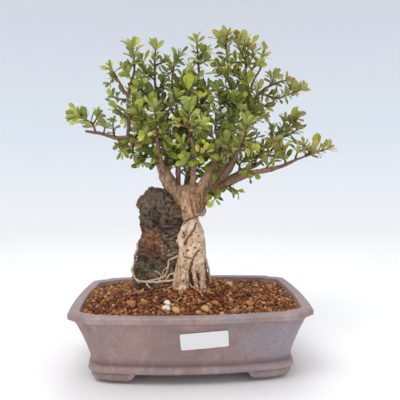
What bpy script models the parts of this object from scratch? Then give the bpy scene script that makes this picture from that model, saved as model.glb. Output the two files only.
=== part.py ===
"""Korean barberry bonsai, grown over a lava rock in a rectangular stoneware pot.

Metres, +Z up, the tree's front towards -Y. The sizes and routes below are in
millimetres, measured from the middle of the pot's foot, and MM makes them metres.
"""

import math
import random

import bmesh
import bpy
from mathutils import Matrix, Vector, noise
from mathutils.bvhtree import BVHTree

MM = 0.001
GAP = 0.35  # air left between two pieces that touch

# Pot
RIM_WIDTH, RIM_DEPTH, RIM_HEIGHT = 190.0, 150.0, 57.4
RIM_FLAT = 8.0  # width of the flat rim
DEPTH_RATE = 1.24  # how much faster the depth narrows than the width
CORNER, CORNER_STEP = 19.1, 5.0
FRONT_BOW, SIDE_BOW = 6.6, 2.9
BOW_STEPS = 2
BODY_FOOT_WIDTH, BODY_FLARE = 160.2, 19.2
BODY_LOW, BODY_HIGH = 15.6, 48.0
BAND_RINGS = [(9.0, 161.5), (10.3, 164.7), (12.6, 165.2), (14.4, 163.4)]  # height, width
LIP_RINGS = [(50.4, 183.0), (52.2, 188.6), (53.4, 190.0), (56.3, 190.0), (57.4, 188.2)]
FLOOR_TOP, FLOOR_WIDTH = 17.0, 146.0
FOOT_RINGS = [(10.4, 160.4), (7.0, 161.6), (3.4, 159.4), (0.0, 151.0)]
FOOT_INNER_WIDTH = 124.0
FRONT_ARCH, SIDE_ARCH = 40.0, 22.0  # half the opening between two feet, at its top
ARCH_CURVE = [(0.0, 9.7), (3.0, 8.2), (4.6, 5.6), (8.0, 3.0), (11.5, 0.0), (12.5, -1.0)]
DRAIN_DIAMETER, DRAIN_X = 14.0, 38.0

# Drain meshes
MESH_THICKNESS, MESH_BAR, MESH_HOLE, MESH_HOLES = 0.8, 2.4, 6.4, 2

# Label
LABEL_CENTRE = (9.2, 37.4)  # x and z on the front wall
LABEL_WIDTH, LABEL_HEIGHT, LABEL_TILT, LABEL_THICKNESS = 35.6, 14.0, 4.0, 0.3
LABEL_CLEAR = 0.6

# Soil
SOIL_EDGE, MOUND_HEIGHT = 53.5, 22.0
MOUND_CENTRE, MOUND_SPREAD = (-9.0, -1.0), (48.0, 39.0)
GRAIN_CELL, GRAIN_RELIEF = 8.2, 1.8

# Rock: height, then its left, right, front and back edges at that height
ROCK = [
    (44, -46, 18, -17, 24),
    (60, -49, 20, -20, 28),
    (72, -48.5, 17, -19.5, 28),
    (82, -47.5, 10, -18.5, 26),
    (92, -44.8, 4, -18, 25),
    (101, -43, 1, -17.5, 24),
    (109, -40.5, -2, -17.5, 22),
    (118, -41, -4, -18, 21),
    (127, -42, -6, -18, 19),
    (134, -44, -8, -17, 18),
    (141, -40, -11, -14, 15),
    (146, -36.5, -16, -8, 10),
    (148.4, -33, -22, -4, 5),
]
ROCK_SIDES, ROCK_SQUARENESS, ROCK_ROUGHNESS = 12, 2.5, 1.8

# Trunk, as the rock: height, then left, right, front and back edges
TRUNK = [
    (52, -10, 11, -22, 2),
    (72, -9.6, 11, -22, 4),
    (86, -8, 11.5, -21, 6),
    (92, -7.4, 12.4, -20.5, 7),
    (98, -9.4, 12.8, -19.5, 8),
    (105, -8.6, 13.0, -17, 9),
    (112, -6, 11.6, -14, 9),
    (119, -5, 7.8, -12, 8),
    (122.5, -5, 6.4, -11, 8),
    (128, -7.5, 9.5, -12, 9),
    (134, -11, 15, -13, 10),
    (140, -15, 17, -13, 11),
    (145.5, -18, 15, -11, 10),
    (149.5, -16, 9, -8, 8),
]
TRUNK_SIDES, TRUNK_SQUARENESS, TRUNK_ROUGHNESS = 9, 2.2, 1.3

# Roots that run down the foot of the trunk into the soil: route, first and last radius
ROOTS = [
    ([(-4, -12, 101), (-5, -18, 88), (-5.5, -21.5, 76), (-6, -23, 66), (-7.5, -24, 50)], 4.4, 5.4),
    ([(3.5, -13, 97), (4, -19, 83), (3.2, -22, 72), (3.8, -24, 64), (5.4, -25, 50)], 2.8, 2.0),
    ([(8.4, -12, 98), (8.6, -17, 84), (8.4, -20, 73), (9.8, -22, 64), (13, -24, 50)], 3.0, 2.0),
    ([(10.5, -4, 98), (10.4, -9, 84), (11, -12, 72), (13, -14, 63), (17, -17, 50)], 3.2, 2.0),
    ([(9, 3, 98), (11.5, 4, 82), (14, 5, 70), (17, 6, 60), (21, 7, 50)], 3.2, 2.0),
    ([(4, 7, 98), (7, 12, 82), (10, 16, 70), (13, 20, 60), (17, 24, 50)], 3.2, 2.0),
    ([(-6, -9, 94), (-10, -17, 82), (-12.4, -22, 71), (-15, -26, 62), (-18, -29, 50)], 2.4, 1.6),
]

# Thin roots that cling to the rock: angle round it and height, then the radii
ROCK_ROOTS = [
    ([(52, 118), (80, 113), (110, 108), (140, 103), (166, 100), (184, 96), (190, 90),
      (184, 84), (188, 77), (200, 71.5), (222, 69.5), (246, 70), (268, 71), (286, 74),
      (300, 79)], 1.9, 1.4),
    ([(322, 108), (314, 102), (307, 95), (298, 90), (282, 88), (277, 82), (268, 77),
      (258, 71)], 1.5, 1.1),
    ([(236, 70.5), (244, 66), (250, 60), (254, 52)], 1.3, 0.9),
    ([(110, 108), (104, 94), (112, 80), (106, 66), (110, 52)], 1.6, 1.1),
]

# Branches: route, first and last radius
BRANCHES = {
    "left_limb": ([(-9, 0, 138), (-18, -1, 154), (-22, -2, 164), (-27, -3, 173)], 6.2, 3.2),
    "left_limb_end": ([(-26, -3, 171), (-33, -4, 179), (-41, -5, 184), (-51, -7, 189),
                       (-61, -8, 190), (-72, -9, 193), (-84, -10, 195)], 3.0, 1.0),
    "left_fork": ([(-21, -2, 162), (-17, 0, 174), (-15, 4, 182), (-18, 9, 197),
                   (-23, 12, 216), (-28, 11, 236), (-28, 10, 246)], 2.8, 0.9),
    "left_upright": ([(-50, -7, 188), (-49, -9, 204), (-49, -9, 224), (-45, -7, 240),
                      (-44, -6, 246)], 1.6, 0.8),
    "left_upright_fork": ([(-49, -9, 222), (-54, -10, 231), (-58, -11, 238)], 1.0, 0.8),
    "left_stub": ([(-49, -9, 209), (-60, -6, 217), (-68, -4, 222)], 0.9, 0.8),
    "left_front_twig": ([(-40, -5, 183), (-35, -12, 191), (-28, -20, 200), (-19, -26, 206)],
                        1.4, 0.9),
    "middle_left_stem": ([(-9, 1, 140), (-9, 3, 156), (-9, 5, 171), (-9, 7, 197),
                          (-10, 8, 216), (-13, 8, 233), (-13, 8, 244)], 2.3, 0.9),
    "middle_stem": ([(1, 6, 142), (3, 12, 161), (4, 16, 180), (6, 18, 207), (9, 18, 233),
                     (10, 16, 247)], 2.2, 0.9),
    "fork_limb": ([(7, -4, 140), (15, -9, 156), (21, -13, 168)], 4.4, 3.4),
    "fork_left": ([(20, -13, 165), (22, -18, 179), (23, -22, 189), (21, -25, 193)], 2.4, 1.2),
    "fork_right": ([(20, -13, 165), (26, -12, 173), (28, -10, 181), (28, -9, 195),
                    (27, -11, 206), (26, -13, 212)], 2.2, 0.9),
    "right_limb": ([(9, 1, 140), (22, 4, 153), (33, 6, 161), (39, 8, 173), (43, 8, 187),
                    (47, 7, 200), (51, 6, 212)], 3.6, 2.6),
    "right_stem": ([(51, 6, 210), (52, 5, 224), (50, 3, 239), (49, 3, 245)], 1.9, 0.9),
    "right_stem_fork": ([(51, 5, 220), (56, 6, 238), (62, 6, 248)], 1.2, 0.8),
    "top_stem": ([(50, 6, 208), (42, 2, 222), (35, -1, 234), (33, -3, 243)], 1.4, 0.9),
    "top_right_twig": ([(50, 6, 212), (59, 4, 225), (64, 2, 230), (69, 1, 233)], 1.6, 0.9),
    "low_right_limb": ([(9, -3, 137), (24, -7, 147), (36, -10, 153), (50, -13, 159),
                        (63, -15, 162), (70, -16, 163), (78, -17, 166), (87, -18, 170),
                        (95, -18, 173)], 3.6, 1.0),
    "right_back_limb": ([(22, 4, 150), (34, 7, 155), (47, 10, 162), (59, 12, 166),
                         (67, 12, 173), (72, 11, 179)], 2.2, 1.1),
    "back_left_limb": ([(-5, 6, 140), (-16, 24, 158), (-30, 42, 182), (-41, 53, 206)],
                       2.8, 1.1),
    "back_limb": ([(0, 8, 140), (2, 32, 167), (0, 50, 196), (3, 60, 224)], 3.0, 1.1),
    "back_right_limb": ([(6, 8, 140), (23, 30, 166), (40, 48, 191), (52, 57, 211)], 2.8, 1.1),
    "front_left_limb": ([(-20, -3, 160), (-24, -20, 176), (-25, -34, 189)], 2.2, 1.1),
    "front_limb": ([(1, -6, 140), (3, -24, 158), (3, -40, 175), (0, -48, 188)], 2.4, 1.1),
    "front_right_limb": ([(20, -6, 147), (32, -26, 165), (38, -40, 176)], 2.0, 1.0),
}

# Leafy sprays: the first route starts on a branch, and each other one on the first
SPRAYS = {
    "far_left_spray": [[(-76, -10, 194), (-78, -11, 200), (-83, -12, 204), (-88, -13, 206)],
                       [(-78, -11, 200), (-75, -8, 206)]],
    "left_limb_spray": [[(-61, -8, 190), (-62, -8, 197), (-62, -8, 202)]],
    "left_low_spray": [[(-57, -8, 189), (-57, -11, 183), (-55, -13, 179)]],
    "left_under_spray": [[(-46, -6, 186), (-46, -10, 179), (-45, -12, 176)]],
    "limb_under_spray": [[(-33, -4, 179), (-37, -9, 174), (-39, -12, 169)]],
    "upright_low_spray": [[(-49, -9, 204), (-55, -11, 210), (-59, -13, 213)]],
    "upright_side_spray": [[(-49, -9, 220), (-57, -4, 222), (-63, 0, 224)]],
    "upright_left_tip_spray": [[(-58, -11, 238), (-60, -12, 242), (-62, -12, 246)],
                               [(-59, -12, 240), (-63, -14, 233)]],
    "upright_tip_spray": [[(-44, -6, 246), (-44, -6, 253), (-45, -6, 263)],
                          [(-44, -6, 249), (-50, -12, 247)]],
    "upright_back_spray": [[(-47, -8, 232), (-40, 2, 238), (-35, 8, 245)]],
    "fork_tip_spray": [[(-28, 10, 246), (-28, 8, 255), (-27, 6, 265)],
                       [(-28, 8, 252), (-19, 4, 254)]],
    "fork_left_spray": [[(-24, 12, 220), (-32, 2, 223), (-38, -6, 229)],
                        [(-32, 2, 223), (-37, -6, 216)]],
    "fork_low_spray": [[(20, -14, 170), (14, -24, 177), (10, -30, 184)]],
    "front_twig_tip_spray": [[(-19, -26, 206), (-14, -28, 212), (-10, -30, 219)]],
    "front_twig_side_spray": [[(-31, -16, 196), (-37, -24, 201), (-40, -28, 207)]],
    "left_inner_spray": [[(-41, -5, 184), (-42, 4, 194), (-44, 10, 204)]],
    "middle_left_tip_spray": [[(-13, 8, 244), (-11, 8, 253), (-7, 7, 259)],
                              [(-12, 8, 248), (-19, 16, 244)]],
    "middle_left_low_spray": [[(-9, 5, 171), (-16, -8, 179), (-21, -14, 186)]],
    "middle_left_mid_spray": [[(-9, 7, 195), (-5, -6, 202), (0, -12, 213)]],
    "middle_left_high_spray": [[(-11, 8, 223), (-5, -6, 227), (1, -14, 231)]],
    "middle_tip_spray": [[(10, 16, 247), (9, 13, 261), (8, 10, 272)],
                         [(10, 14, 254), (16, 4, 255)]],
    "middle_mid_spray": [[(6, 18, 208), (11, 2, 217), (15, -8, 227)]],
    "middle_low_spray": [[(4, 16, 179), (0, 2, 186), (0, -6, 196)]],
    "middle_base_spray": [[(2, 9, 154), (7, -4, 163), (10, -10, 169)]],
    "fork_left_tip_spray": [[(21, -25, 193), (21, -28, 200), (21, -31, 206)],
                            [(21, -27, 197), (28, -33, 194)]],
    "fork_right_tip_spray": [[(26, -13, 212), (25, -15, 219), (24, -16, 226)],
                             [(25, -14, 215), (34, -20, 220)]],
    "top_spray": [[(33, -3, 243), (33, -4, 255), (31, -5, 268)],
                  [(33, -3, 249), (26, -9, 248)]],
    "crown_spray": [[(49, 3, 245), (49, 2, 257), (48, 2, 271)],
                    [(49, 2, 253), (40, -8, 251)]],
    "crown_right_spray": [[(62, 6, 248), (63, 5, 257), (65, 5, 264)]],
    "twig_tip_spray": [[(69, 1, 233), (78, -1, 237), (84, -3, 240)],
                       [(72, 1, 234), (71, 8, 242)]],
    "high_right_spray": [[(61, 3, 228), (74, -4, 222), (84, -7, 225), (93, -9, 228)]],
    "stem_front_spray": [[(51, 5, 225), (48, -10, 226), (48, -17, 231)]],
    "right_limb_spray": [[(48, 7, 204), (54, 3, 205), (61, 0, 209)]],
    "right_limb_low_spray": [[(43, 8, 187), (49, -4, 187), (56, -10, 189)]],
    "right_back_spray": [[(72, 11, 179), (81, 8, 190), (88, 6, 202)],
                         [(75, 10, 183), (72, 6, 196)]],
    "right_inner_spray": [[(57, 12, 165), (59, 2, 174), (63, -3, 180)]],
    "low_right_tip_spray": [[(95, -18, 173), (104, -19, 176), (113, -20, 179)],
                            [(99, -18, 175), (93, -22, 182)]],
    "low_right_spray": [[(79, -17, 167), (77, -20, 174), (75, -22, 180)]],
    "low_right_inner_spray": [[(55, -14, 161), (49, -20, 156), (46, -28, 159)]],
    "low_right_under_spray": [[(31, -9, 151), (34, -16, 148), (39, -20, 145)]],
    "low_leaf_spray": [[(17, -5, 143), (20, -13, 142), (21, -17, 139)]],
    "back_left_spray": [[(-41, 53, 206), (-48, 56, 222), (-52, 58, 234)],
                        [(-44, 55, 214), (-55, 44, 211)], [(-46, 56, 218), (-35, 50, 232)]],
    "back_spray": [[(3, 60, 224), (3, 60, 240), (4, 56, 256)],
                   [(3, 60, 232), (-12, 56, 237)], [(3, 60, 230), (18, 56, 233)]],
    "back_right_spray": [[(52, 57, 211), (63, 60, 224), (68, 58, 239)],
                         [(56, 58, 217), (45, 60, 232)], [(57, 58, 218), (72, 50, 213)]],
    "back_low_spray": [[(2, 42, 181), (-7, 56, 192), (-19, 64, 198)],
                       [(-3, 50, 186), (10, 64, 198)]],
    "back_right_low_spray": [[(31, 38, 179), (48, 50, 180), (64, 56, 185)],
                             [(39, 44, 179), (37, 56, 193)]],
    "front_left_spray": [[(-25, -34, 189), (-25, -42, 199), (-26, -46, 209)],
                         [(-25, -38, 195), (-33, -46, 190)]],
    "front_spray": [[(0, -48, 188), (0, -54, 196), (-1, -56, 206)],
                    [(0, -51, 192), (8, -58, 196)], [(0, -52, 193), (-8, -56, 197)]],
    "front_right_spray": [[(38, -40, 176), (41, -48, 186), (43, -52, 196)],
                          [(39, -44, 181), (46, -52, 177)]],
}
TWIG_RADIUS, TWIG_TIP_RADIUS, TWIG_SIDES = 0.9, 0.7, 3

# Leaves: a whorl at each twig's tip and some more along it
WHORL_SPACING = 21.0
TIP_LEAVES, SIDE_LEAVES = 4, 1
LEAF_LENGTH, LEAF_WIDTH, LEAF_THICKNESS = 12.0, 7.0, 0.62
LEAF_WIDEST, LEAF_SHOULDER, LEAF_SHOULDER_WIDTH = 0.68, 0.97, 0.46  # shares of the size
LEAF_TRIES = 7
LEAF_SEAT = 0.3  # how far from the twig's middle line a leaf starts
LEAF_STAGGER = 0.75  # how far back along the twig each leaf of a whorl starts
STALK = 1.8  # the part of a leaf, from its foot, that may meet its neighbours
SPINE_LENGTH, SPINE_RADIUS = 9.0, 0.5

# Thorns that stand out past the leaves: the point of each, on the spray that bears it
OUTER_THORNS = {
    "far_left_spray": (-101.8, -12.0, 201.1),
    "upright_left_tip_spray": (-74.3, -12.0, 247.2),
    "upright_tip_spray": (-54.5, -6.0, 273.0),
    "fork_tip_spray": (-34.9, 6.0, 273.0),
    "crown_right_spray": (71.9, 5.0, 256.5),
    "high_right_spray": (101.0, -9.0, 229.6),
    "low_right_tip_spray": (124.1, -19.0, 175.6),
}

# Flower bunches: the spray that bears it, a point near the twig and the way it hangs
FLOWERS = {
    "left_flowers": ("middle_left_mid_spray", (-6, -3, 201), (-0.2, -0.8, -0.1)),
    "middle_flowers": ("fork_low_spray", (13, -25, 178), (-0.4, -0.7, 0.4)),
    "upper_flowers": ("middle_mid_spray", (13, -3, 222), (-0.3, -0.8, 0.3)),
}
BUDS, FLOWER_TRIES = 3, 80
BUD_RADIUS, PETAL_LENGTH, PETAL_LIFT, PETAL_THICKNESS = 1.5, 3.4, 1.3, 0.7


def clear_scene():
    for obj in list(bpy.data.objects):
        bpy.data.objects.remove(obj)


# Shaping tools

def solid(name, points, faces):
    """A closed mesh object from points in millimetres, its faces turned outwards."""
    mesh = bpy.data.meshes.new(name)
    mesh.from_pydata([Vector(point) * MM for point in points], [], faces)
    shape = bmesh.new()
    shape.from_mesh(mesh)
    bmesh.ops.recalc_face_normals(shape, faces=shape.faces)
    shape.to_mesh(mesh)
    shape.free()
    obj = bpy.data.objects.new(name, mesh)
    bpy.context.scene.collection.objects.link(obj)
    return obj


def loft(name, rings, closed=False):
    """Skins rings of equal point count: capped at both ends, or closed on itself."""
    count = len(rings[0])
    points = [point for ring in rings for point in ring]
    faces = []
    for i in range(len(rings) if closed else len(rings) - 1):
        low, high = i * count, (i + 1) % len(rings) * count
        for j in range(count):
            k = (j + 1) % count
            faces += [(low + j, low + k, high + k), (low + j, high + k, high + j)]
    if not closed:
        faces.append(tuple(range(count)))
        faces.append(tuple(range(len(points) - count, len(points))))
    return solid(name, points, faces)


def stem_rings(route, first_radius, last_radius, sides, grow=0.0):
    """Rings square to a route, with the radius running evenly from first to last."""
    points = [Vector(point) for point in route]
    if grow:
        points[0] -= (points[1] - points[0]).normalized() * grow
        points[-1] += (points[-1] - points[-2]).normalized() * grow
    steps = [(b - a).normalized() for a, b in zip(points, points[1:])]
    side = steps[0].orthogonal().normalized()
    rings = []
    for i, point in enumerate(points):
        along = steps[max(i - 1, 0)] + steps[min(i, len(steps) - 1)]
        along.normalize()
        side = (side - along * side.dot(along)).normalized()
        other = along.cross(side)
        share = i / (len(points) - 1)
        radius = first_radius + (last_radius - first_radius) * share + grow
        turns = [math.tau * j / sides for j in range(sides)]
        rings.append([point + (side * math.cos(t) + other * math.sin(t)) * radius
                      for t in turns])
    return rings


def apply_modifiers(obj):
    graph = bpy.context.evaluated_depsgraph_get()
    mesh = bpy.data.meshes.new_from_object(obj.evaluated_get(graph))
    obj.modifiers.clear()
    obj.data = mesh


def combine(obj, others, operation, solver="EXACT"):
    """Joins the others to obj, or cuts them from it, and removes them."""
    group = bpy.data.collections.new(obj.name + "_others")
    for other in others:
        group.objects.link(other)
    boolean = obj.modifiers.new("combine", "BOOLEAN")
    boolean.operation = operation
    boolean.operand_type = "COLLECTION"
    boolean.collection = group
    boolean.solver = solver
    apply_modifiers(obj)
    for other in others:
        bpy.data.objects.remove(other)
    bpy.data.collections.remove(group)
    return obj


def keep_largest(obj):
    """Leaves the biggest body of a mesh, without loose scraps or sealed hollows."""
    shape = bmesh.new()
    shape.from_mesh(obj.data)
    unseen = set(shape.verts)
    bodies = []
    while unseen:
        body, edge = set(), [unseen.pop()]
        while edge:
            vert = edge.pop()
            body.add(vert)
            near = {link.other_vert(vert) for link in vert.link_edges} & unseen
            unseen -= near
            edge.extend(near)
        bodies.append(body)
    spans = [sum((max(v.co[i] for v in body) - min(v.co[i] for v in body)) for i in range(3))
             for body in bodies]
    kept = bodies[spans.index(max(spans))]
    extra = [vert for vert in shape.verts if vert not in kept]
    bmesh.ops.delete(shape, geom=extra, context="VERTS")
    shape.to_mesh(obj.data)
    shape.free()
    return obj


def between(rows, height):
    """The row of edges at a height, between the rows of a table that give it."""
    if height <= rows[0][0]:
        return rows[0][1:]
    for low, high in zip(rows, rows[1:]):
        if height <= high[0]:
            share = (height - low[0]) / (high[0] - low[0])
            return [a + (b - a) * share for a, b in zip(low[1:], high[1:])]
    return rows[-1][1:]


def side_point(rows, degrees, height, squareness, roughness, grow=0.0):
    """A point on the side of the rock or the trunk, at an angle round it and a height."""
    left, right, front, back = between(rows, height)
    cos, sin = math.cos(math.radians(degrees)), math.sin(math.radians(degrees))
    x = math.copysign(abs(cos) ** (2 / squareness), cos)
    y = math.copysign(abs(sin) ** (2 / squareness), sin)
    where = Vector((cos * 1.3, sin * 1.3, height / 11.0))
    out = grow + roughness * noise.noise(where)
    return Vector(((left + right) / 2 + x * ((right - left) / 2 + out),
                   (front + back) / 2 + y * ((back - front) / 2 + out), height))


def paint(obj, name, colour, roughness, metallic=0.0):
    """Gives a piece its own material, in the colour that its surface shows."""
    material = bpy.data.materials.new(name)
    material.use_nodes = True
    surface = material.node_tree.nodes["Principled BSDF"]
    surface.inputs["Base Color"].default_value = (*colour, 1.0)
    surface.inputs["Roughness"].default_value = roughness
    surface.inputs["Metallic"].default_value = metallic
    material.diffuse_color = (*colour, 1.0)
    obj.data.materials.clear()
    obj.data.materials.append(material)
    return obj


def shade_round(obj, degrees=40):
    obj.data.shade_smooth()
    obj.data.set_sharp_from_angle(angle=math.radians(degrees))
    return obj


# Pot

def pot_depth(width):
    return RIM_DEPTH - DEPTH_RATE * (RIM_WIDTH - width)


def pot_outline(width, depth, height):
    """The bowed rectangle with small ogee steps at its cut corners, at a height."""
    half_x, half_y = width / 2, depth / 2
    corner = CORNER * width / RIM_WIDTH
    step = CORNER_STEP * width / RIM_WIDTH
    quarter = []
    for i in range(BOW_STEPS + 1):
        share = i / BOW_STEPS
        quarter.append(((half_x - corner) * share, half_y - FRONT_BOW * share ** 2))
    quarter += [
        (half_x - corner + 0.45 * step, half_y - FRONT_BOW - 0.5 * step),
        (half_x - corner + 0.9 * step, half_y - FRONT_BOW - 1.1 * step),
        (half_x - SIDE_BOW - 1.1 * step, half_y - corner + 0.9 * step),
        (half_x - SIDE_BOW - 0.5 * step, half_y - corner + 0.45 * step),
        (half_x - SIDE_BOW, half_y - corner),
        (half_x, 0.0),
    ]
    right = quarter + [(x, -y) for x, y in reversed(quarter[:-1])]
    left = [(-x, y) for x, y in reversed(right[1:-1])]
    return [(x, y, height) for x, y in right + left]


def body_width(height):
    share = max(height - BODY_LOW, 0.0) / (BODY_HIGH - BODY_LOW)
    return BODY_FOOT_WIDTH + BODY_FLARE * share ** 1.3


def wall_front(x, height):
    """Where the front wall stands, in y."""
    width = body_width(height)
    share = x / (width / 2 - CORNER * width / RIM_WIDTH)
    return FRONT_BOW * share ** 2 - pot_depth(width) / 2


def inner_width(height):
    share = (height - FLOOR_TOP) / (RIM_HEIGHT - FLOOR_TOP)
    return FLOOR_WIDTH + (RIM_WIDTH - 2 * RIM_FLAT - FLOOR_WIDTH) * share


def inner_outline(height, inset=0.0):
    """The outline of the pot's inside, drawn in by an inset."""
    width = inner_width(min(height, RIM_HEIGHT))
    depth = pot_depth(width) + 2 * RIM_FLAT * (DEPTH_RATE - 1)
    return pot_outline(width - 2 * inset, depth - 2 * inset, height)


def arch_cutter(name, half_width, half_length, along_y):
    """The opening between two feet: flat above, with an ogee down each foot."""
    edge = [(half_width + out, height) for out, height in ARCH_CURVE]
    profile = edge + [(-x, z) for x, z in reversed(edge)]
    ends = []
    for side in (-half_length, half_length):
        ends.append([(x, side, z) if along_y else (side, x, z) for x, z in profile])
    return loft(name, ends)


def pot_feet():
    rings = [pot_outline(width, pot_depth(width), z) for z, width in FOOT_RINGS]
    for height in (FOOT_RINGS[-1][0], FOOT_RINGS[0][0]):
        rings.append(pot_outline(FOOT_INNER_WIDTH, pot_depth(FOOT_INNER_WIDTH), height))
    feet = loft("feet", rings, closed=True)
    openings = [
        arch_cutter("front_arch", FRONT_ARCH, RIM_DEPTH, True),
        arch_cutter("side_arch", SIDE_ARCH, RIM_WIDTH, False),
    ]
    return combine(feet, openings, "DIFFERENCE")


def drain_cutter(x):
    turns = [math.tau * i / 16 for i in range(16)]
    radius = DRAIN_DIAMETER / 2
    ends = [[(x + radius * math.cos(t), radius * math.sin(t), z) for t in turns]
            for z in (0.0, FLOOR_TOP + 5)]
    return loft("drain", ends)


def make_pot():
    heights = [BODY_LOW + (BODY_HIGH - BODY_LOW) * i / 3 for i in range(4)]
    body = [(z, body_width(z)) for z in heights]
    outside = [pot_outline(width, pot_depth(width), z)
               for z, width in BAND_RINGS + body + LIP_RINGS]
    inside = [inner_outline(z) for z in (RIM_HEIGHT, FLOOR_TOP)]
    pot = loft("pot", outside + inside)
    combine(pot, [pot_feet()], "UNION")
    combine(pot, [drain_cutter(DRAIN_X), drain_cutter(-DRAIN_X)], "DIFFERENCE")
    keep_largest(pot)
    return shade_round(paint(pot, "stoneware", (0.30, 0.225, 0.225), 0.62))


# Drain meshes

def make_drain_mesh(name, x):
    """A square of plastic mesh that lies over a drain hole."""
    lines = [0.0]
    for i in range(2 * MESH_HOLES + 1):
        lines.append(lines[-1] + (MESH_BAR if i % 2 == 0 else MESH_HOLE))
    half = lines[-1] / 2
    bottom = FLOOR_TOP + GAP
    count = len(lines)
    points = [(x + a - half, b - half, z)
              for z in (bottom, bottom + MESH_THICKNESS) for b in lines for a in lines]
    filled = {(i, j) for i in range(count - 1) for j in range(count - 1)
              if i % 2 == 0 or j % 2 == 0}
    top = count * count
    faces = []
    for i, j in sorted(filled):
        corners = [j * count + i, j * count + i + 1, (j + 1) * count + i + 1,
                   (j + 1) * count + i]
        faces.append(tuple(corners))
        faces.append(tuple(corner + top for corner in corners))
        beside = [(i, j - 1), (i + 1, j), (i, j + 1), (i - 1, j)]
        for k, other in enumerate(beside):
            if other not in filled:
                a, b = corners[k], corners[(k + 1) % 4]
                faces.append((a, b, b + top, a + top))
    return paint(solid(name, points, faces), name, (0.03, 0.03, 0.03), 0.5)


# Label

def make_label():
    """A blank paper label, stuck to the front wall a little askew."""
    turn = Matrix.Rotation(math.radians(LABEL_TILT), 2)
    columns, rows = 5, 3
    points = []
    for out in (LABEL_CLEAR, LABEL_CLEAR + LABEL_THICKNESS):
        for j in range(rows):
            for i in range(columns):
                flat = turn @ Vector(((i / (columns - 1) - 0.5) * LABEL_WIDTH,
                                      (j / (rows - 1) - 0.5) * LABEL_HEIGHT))
                x, z = LABEL_CENTRE[0] + flat.x, LABEL_CENTRE[1] + flat.y
                points.append((x, wall_front(x, z) - out, z))
    layer = columns * rows
    faces = []
    for j in range(rows - 1):
        for i in range(columns - 1):
            first = j * columns + i
            corners = (first, first + 1, first + columns + 1, first + columns)
            faces += [corners, tuple(corner + layer for corner in corners)]
    rim = list(range(columns)) + [columns * (j + 1) - 1 for j in range(1, rows)]
    rim += [layer - 1 - i for i in range(1, columns)]
    rim += [columns * j for j in range(rows - 2, 0, -1)]
    for a, b in zip(rim, rim[1:] + rim[:1]):
        faces.append((a, b, b + layer, a + layer))
    return paint(solid("label", points, faces), "paper", (0.86, 0.85, 0.83), 0.6)


# Rock and trunk

def side_rings(rows, heights, sides, squareness, roughness, grow):
    turns = [360 * i / sides for i in range(sides)]
    return [[side_point(rows, turn, z, squareness, roughness, grow) for turn in turns]
            for z in heights]


def rock_solid(name, grow=0.0):
    heights = [row[0] for row in ROCK]
    heights[0] -= grow
    heights[-1] += grow
    return loft(name, side_rings(ROCK, heights, ROCK_SIDES, ROCK_SQUARENESS,
                                 ROCK_ROUGHNESS, grow))


def rock_root_route(path):
    """A route along the rock's surface, from angles round it and heights."""
    return [side_point(ROCK, turn, z, ROCK_SQUARENESS, ROCK_ROUGHNESS, 0.5)
            for turn, z in path]


def wood_parts(grow=0.0):
    """The trunk, its roots and branches, each a little sunk into what bears it."""
    heights = [row[0] for row in TRUNK]
    heights[0] -= grow
    heights[-1] += grow
    parts = [loft("trunk", side_rings(TRUNK, heights, TRUNK_SIDES, TRUNK_SQUARENESS,
                                      TRUNK_ROUGHNESS, grow))]
    for route, first, last in ROOTS:
        parts.append(loft("root", stem_rings(route, first, last, 4, grow)))
    for path, first, last in ROCK_ROOTS:
        parts.append(loft("rock_root", stem_rings(rock_root_route(path), first, last, 4, grow)))
    for route, first, last in BRANCHES.values():
        sides = 6 if first > 4 else 5 if first > 2 else 4
        parts.append(loft("branch", stem_rings(route, first, last, sides, grow)))
    return parts


def wood_solid(name, grow=0.0):
    parts = wood_parts(grow)
    wood = combine(parts[0], parts[1:], "UNION", "MANIFOLD")
    wood.name = name
    return keep_largest(wood)


def make_trunk():
    trunk = wood_solid("trunk")
    return shade_round(paint(trunk, "barberry_wood", (0.52, 0.38, 0.26), 0.8), 60)


def make_rock():
    rock = rock_solid("rock")
    combine(rock, [wood_solid("wood_room", GAP)], "DIFFERENCE", "MANIFOLD")
    keep_largest(rock)
    return paint(rock, "lava_rock", (0.085, 0.07, 0.06), 0.9)


# Soil

def mound(x, y):
    """The height of the soil's surface, without its grains."""
    across = (x - MOUND_CENTRE[0]) / MOUND_SPREAD[0]
    deep = (y - MOUND_CENTRE[1]) / MOUND_SPREAD[1]
    return SOIL_EDGE + MOUND_HEIGHT * math.exp(-across ** 2 - deep ** 2)


def grain_sheet():
    """A slab whose upper side rises and falls with the grains."""
    draw = random.Random(7)
    half_x, half_y = RIM_WIDTH / 2, RIM_DEPTH / 2
    columns, rows = int(RIM_WIDTH / GRAIN_CELL), int(RIM_DEPTH / GRAIN_CELL)
    points, faces = [], []
    for j in range(rows + 1):
        for i in range(columns + 1):
            x = -half_x + RIM_WIDTH * i / columns
            y = -half_y + RIM_DEPTH * j / rows
            relief = draw.uniform(-GRAIN_RELIEF, GRAIN_RELIEF)
            points.append((x, y, mound(x, y) + relief))
    upper = len(points)
    for j in range(rows):
        for i in range(columns):
            first = j * (columns + 1) + i
            faces.append((first, first + 1, first + columns + 2, first + columns + 1))
    rim = [i for i in range(columns + 1)]
    rim += [(columns + 1) * j + columns for j in range(1, rows + 1)]
    rim += [(columns + 1) * rows + i for i in range(columns - 1, -1, -1)]
    rim += [(columns + 1) * j for j in range(rows - 1, 0, -1)]
    points += [(points[i][0], points[i][1], FLOOR_TOP - 5) for i in rim]
    for k in range(len(rim)):
        following = (k + 1) % len(rim)
        faces.append((rim[k], rim[following], upper + following, upper + k))
    faces.append(tuple(range(upper, upper + len(rim))))
    return solid("soil", points, faces)


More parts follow.
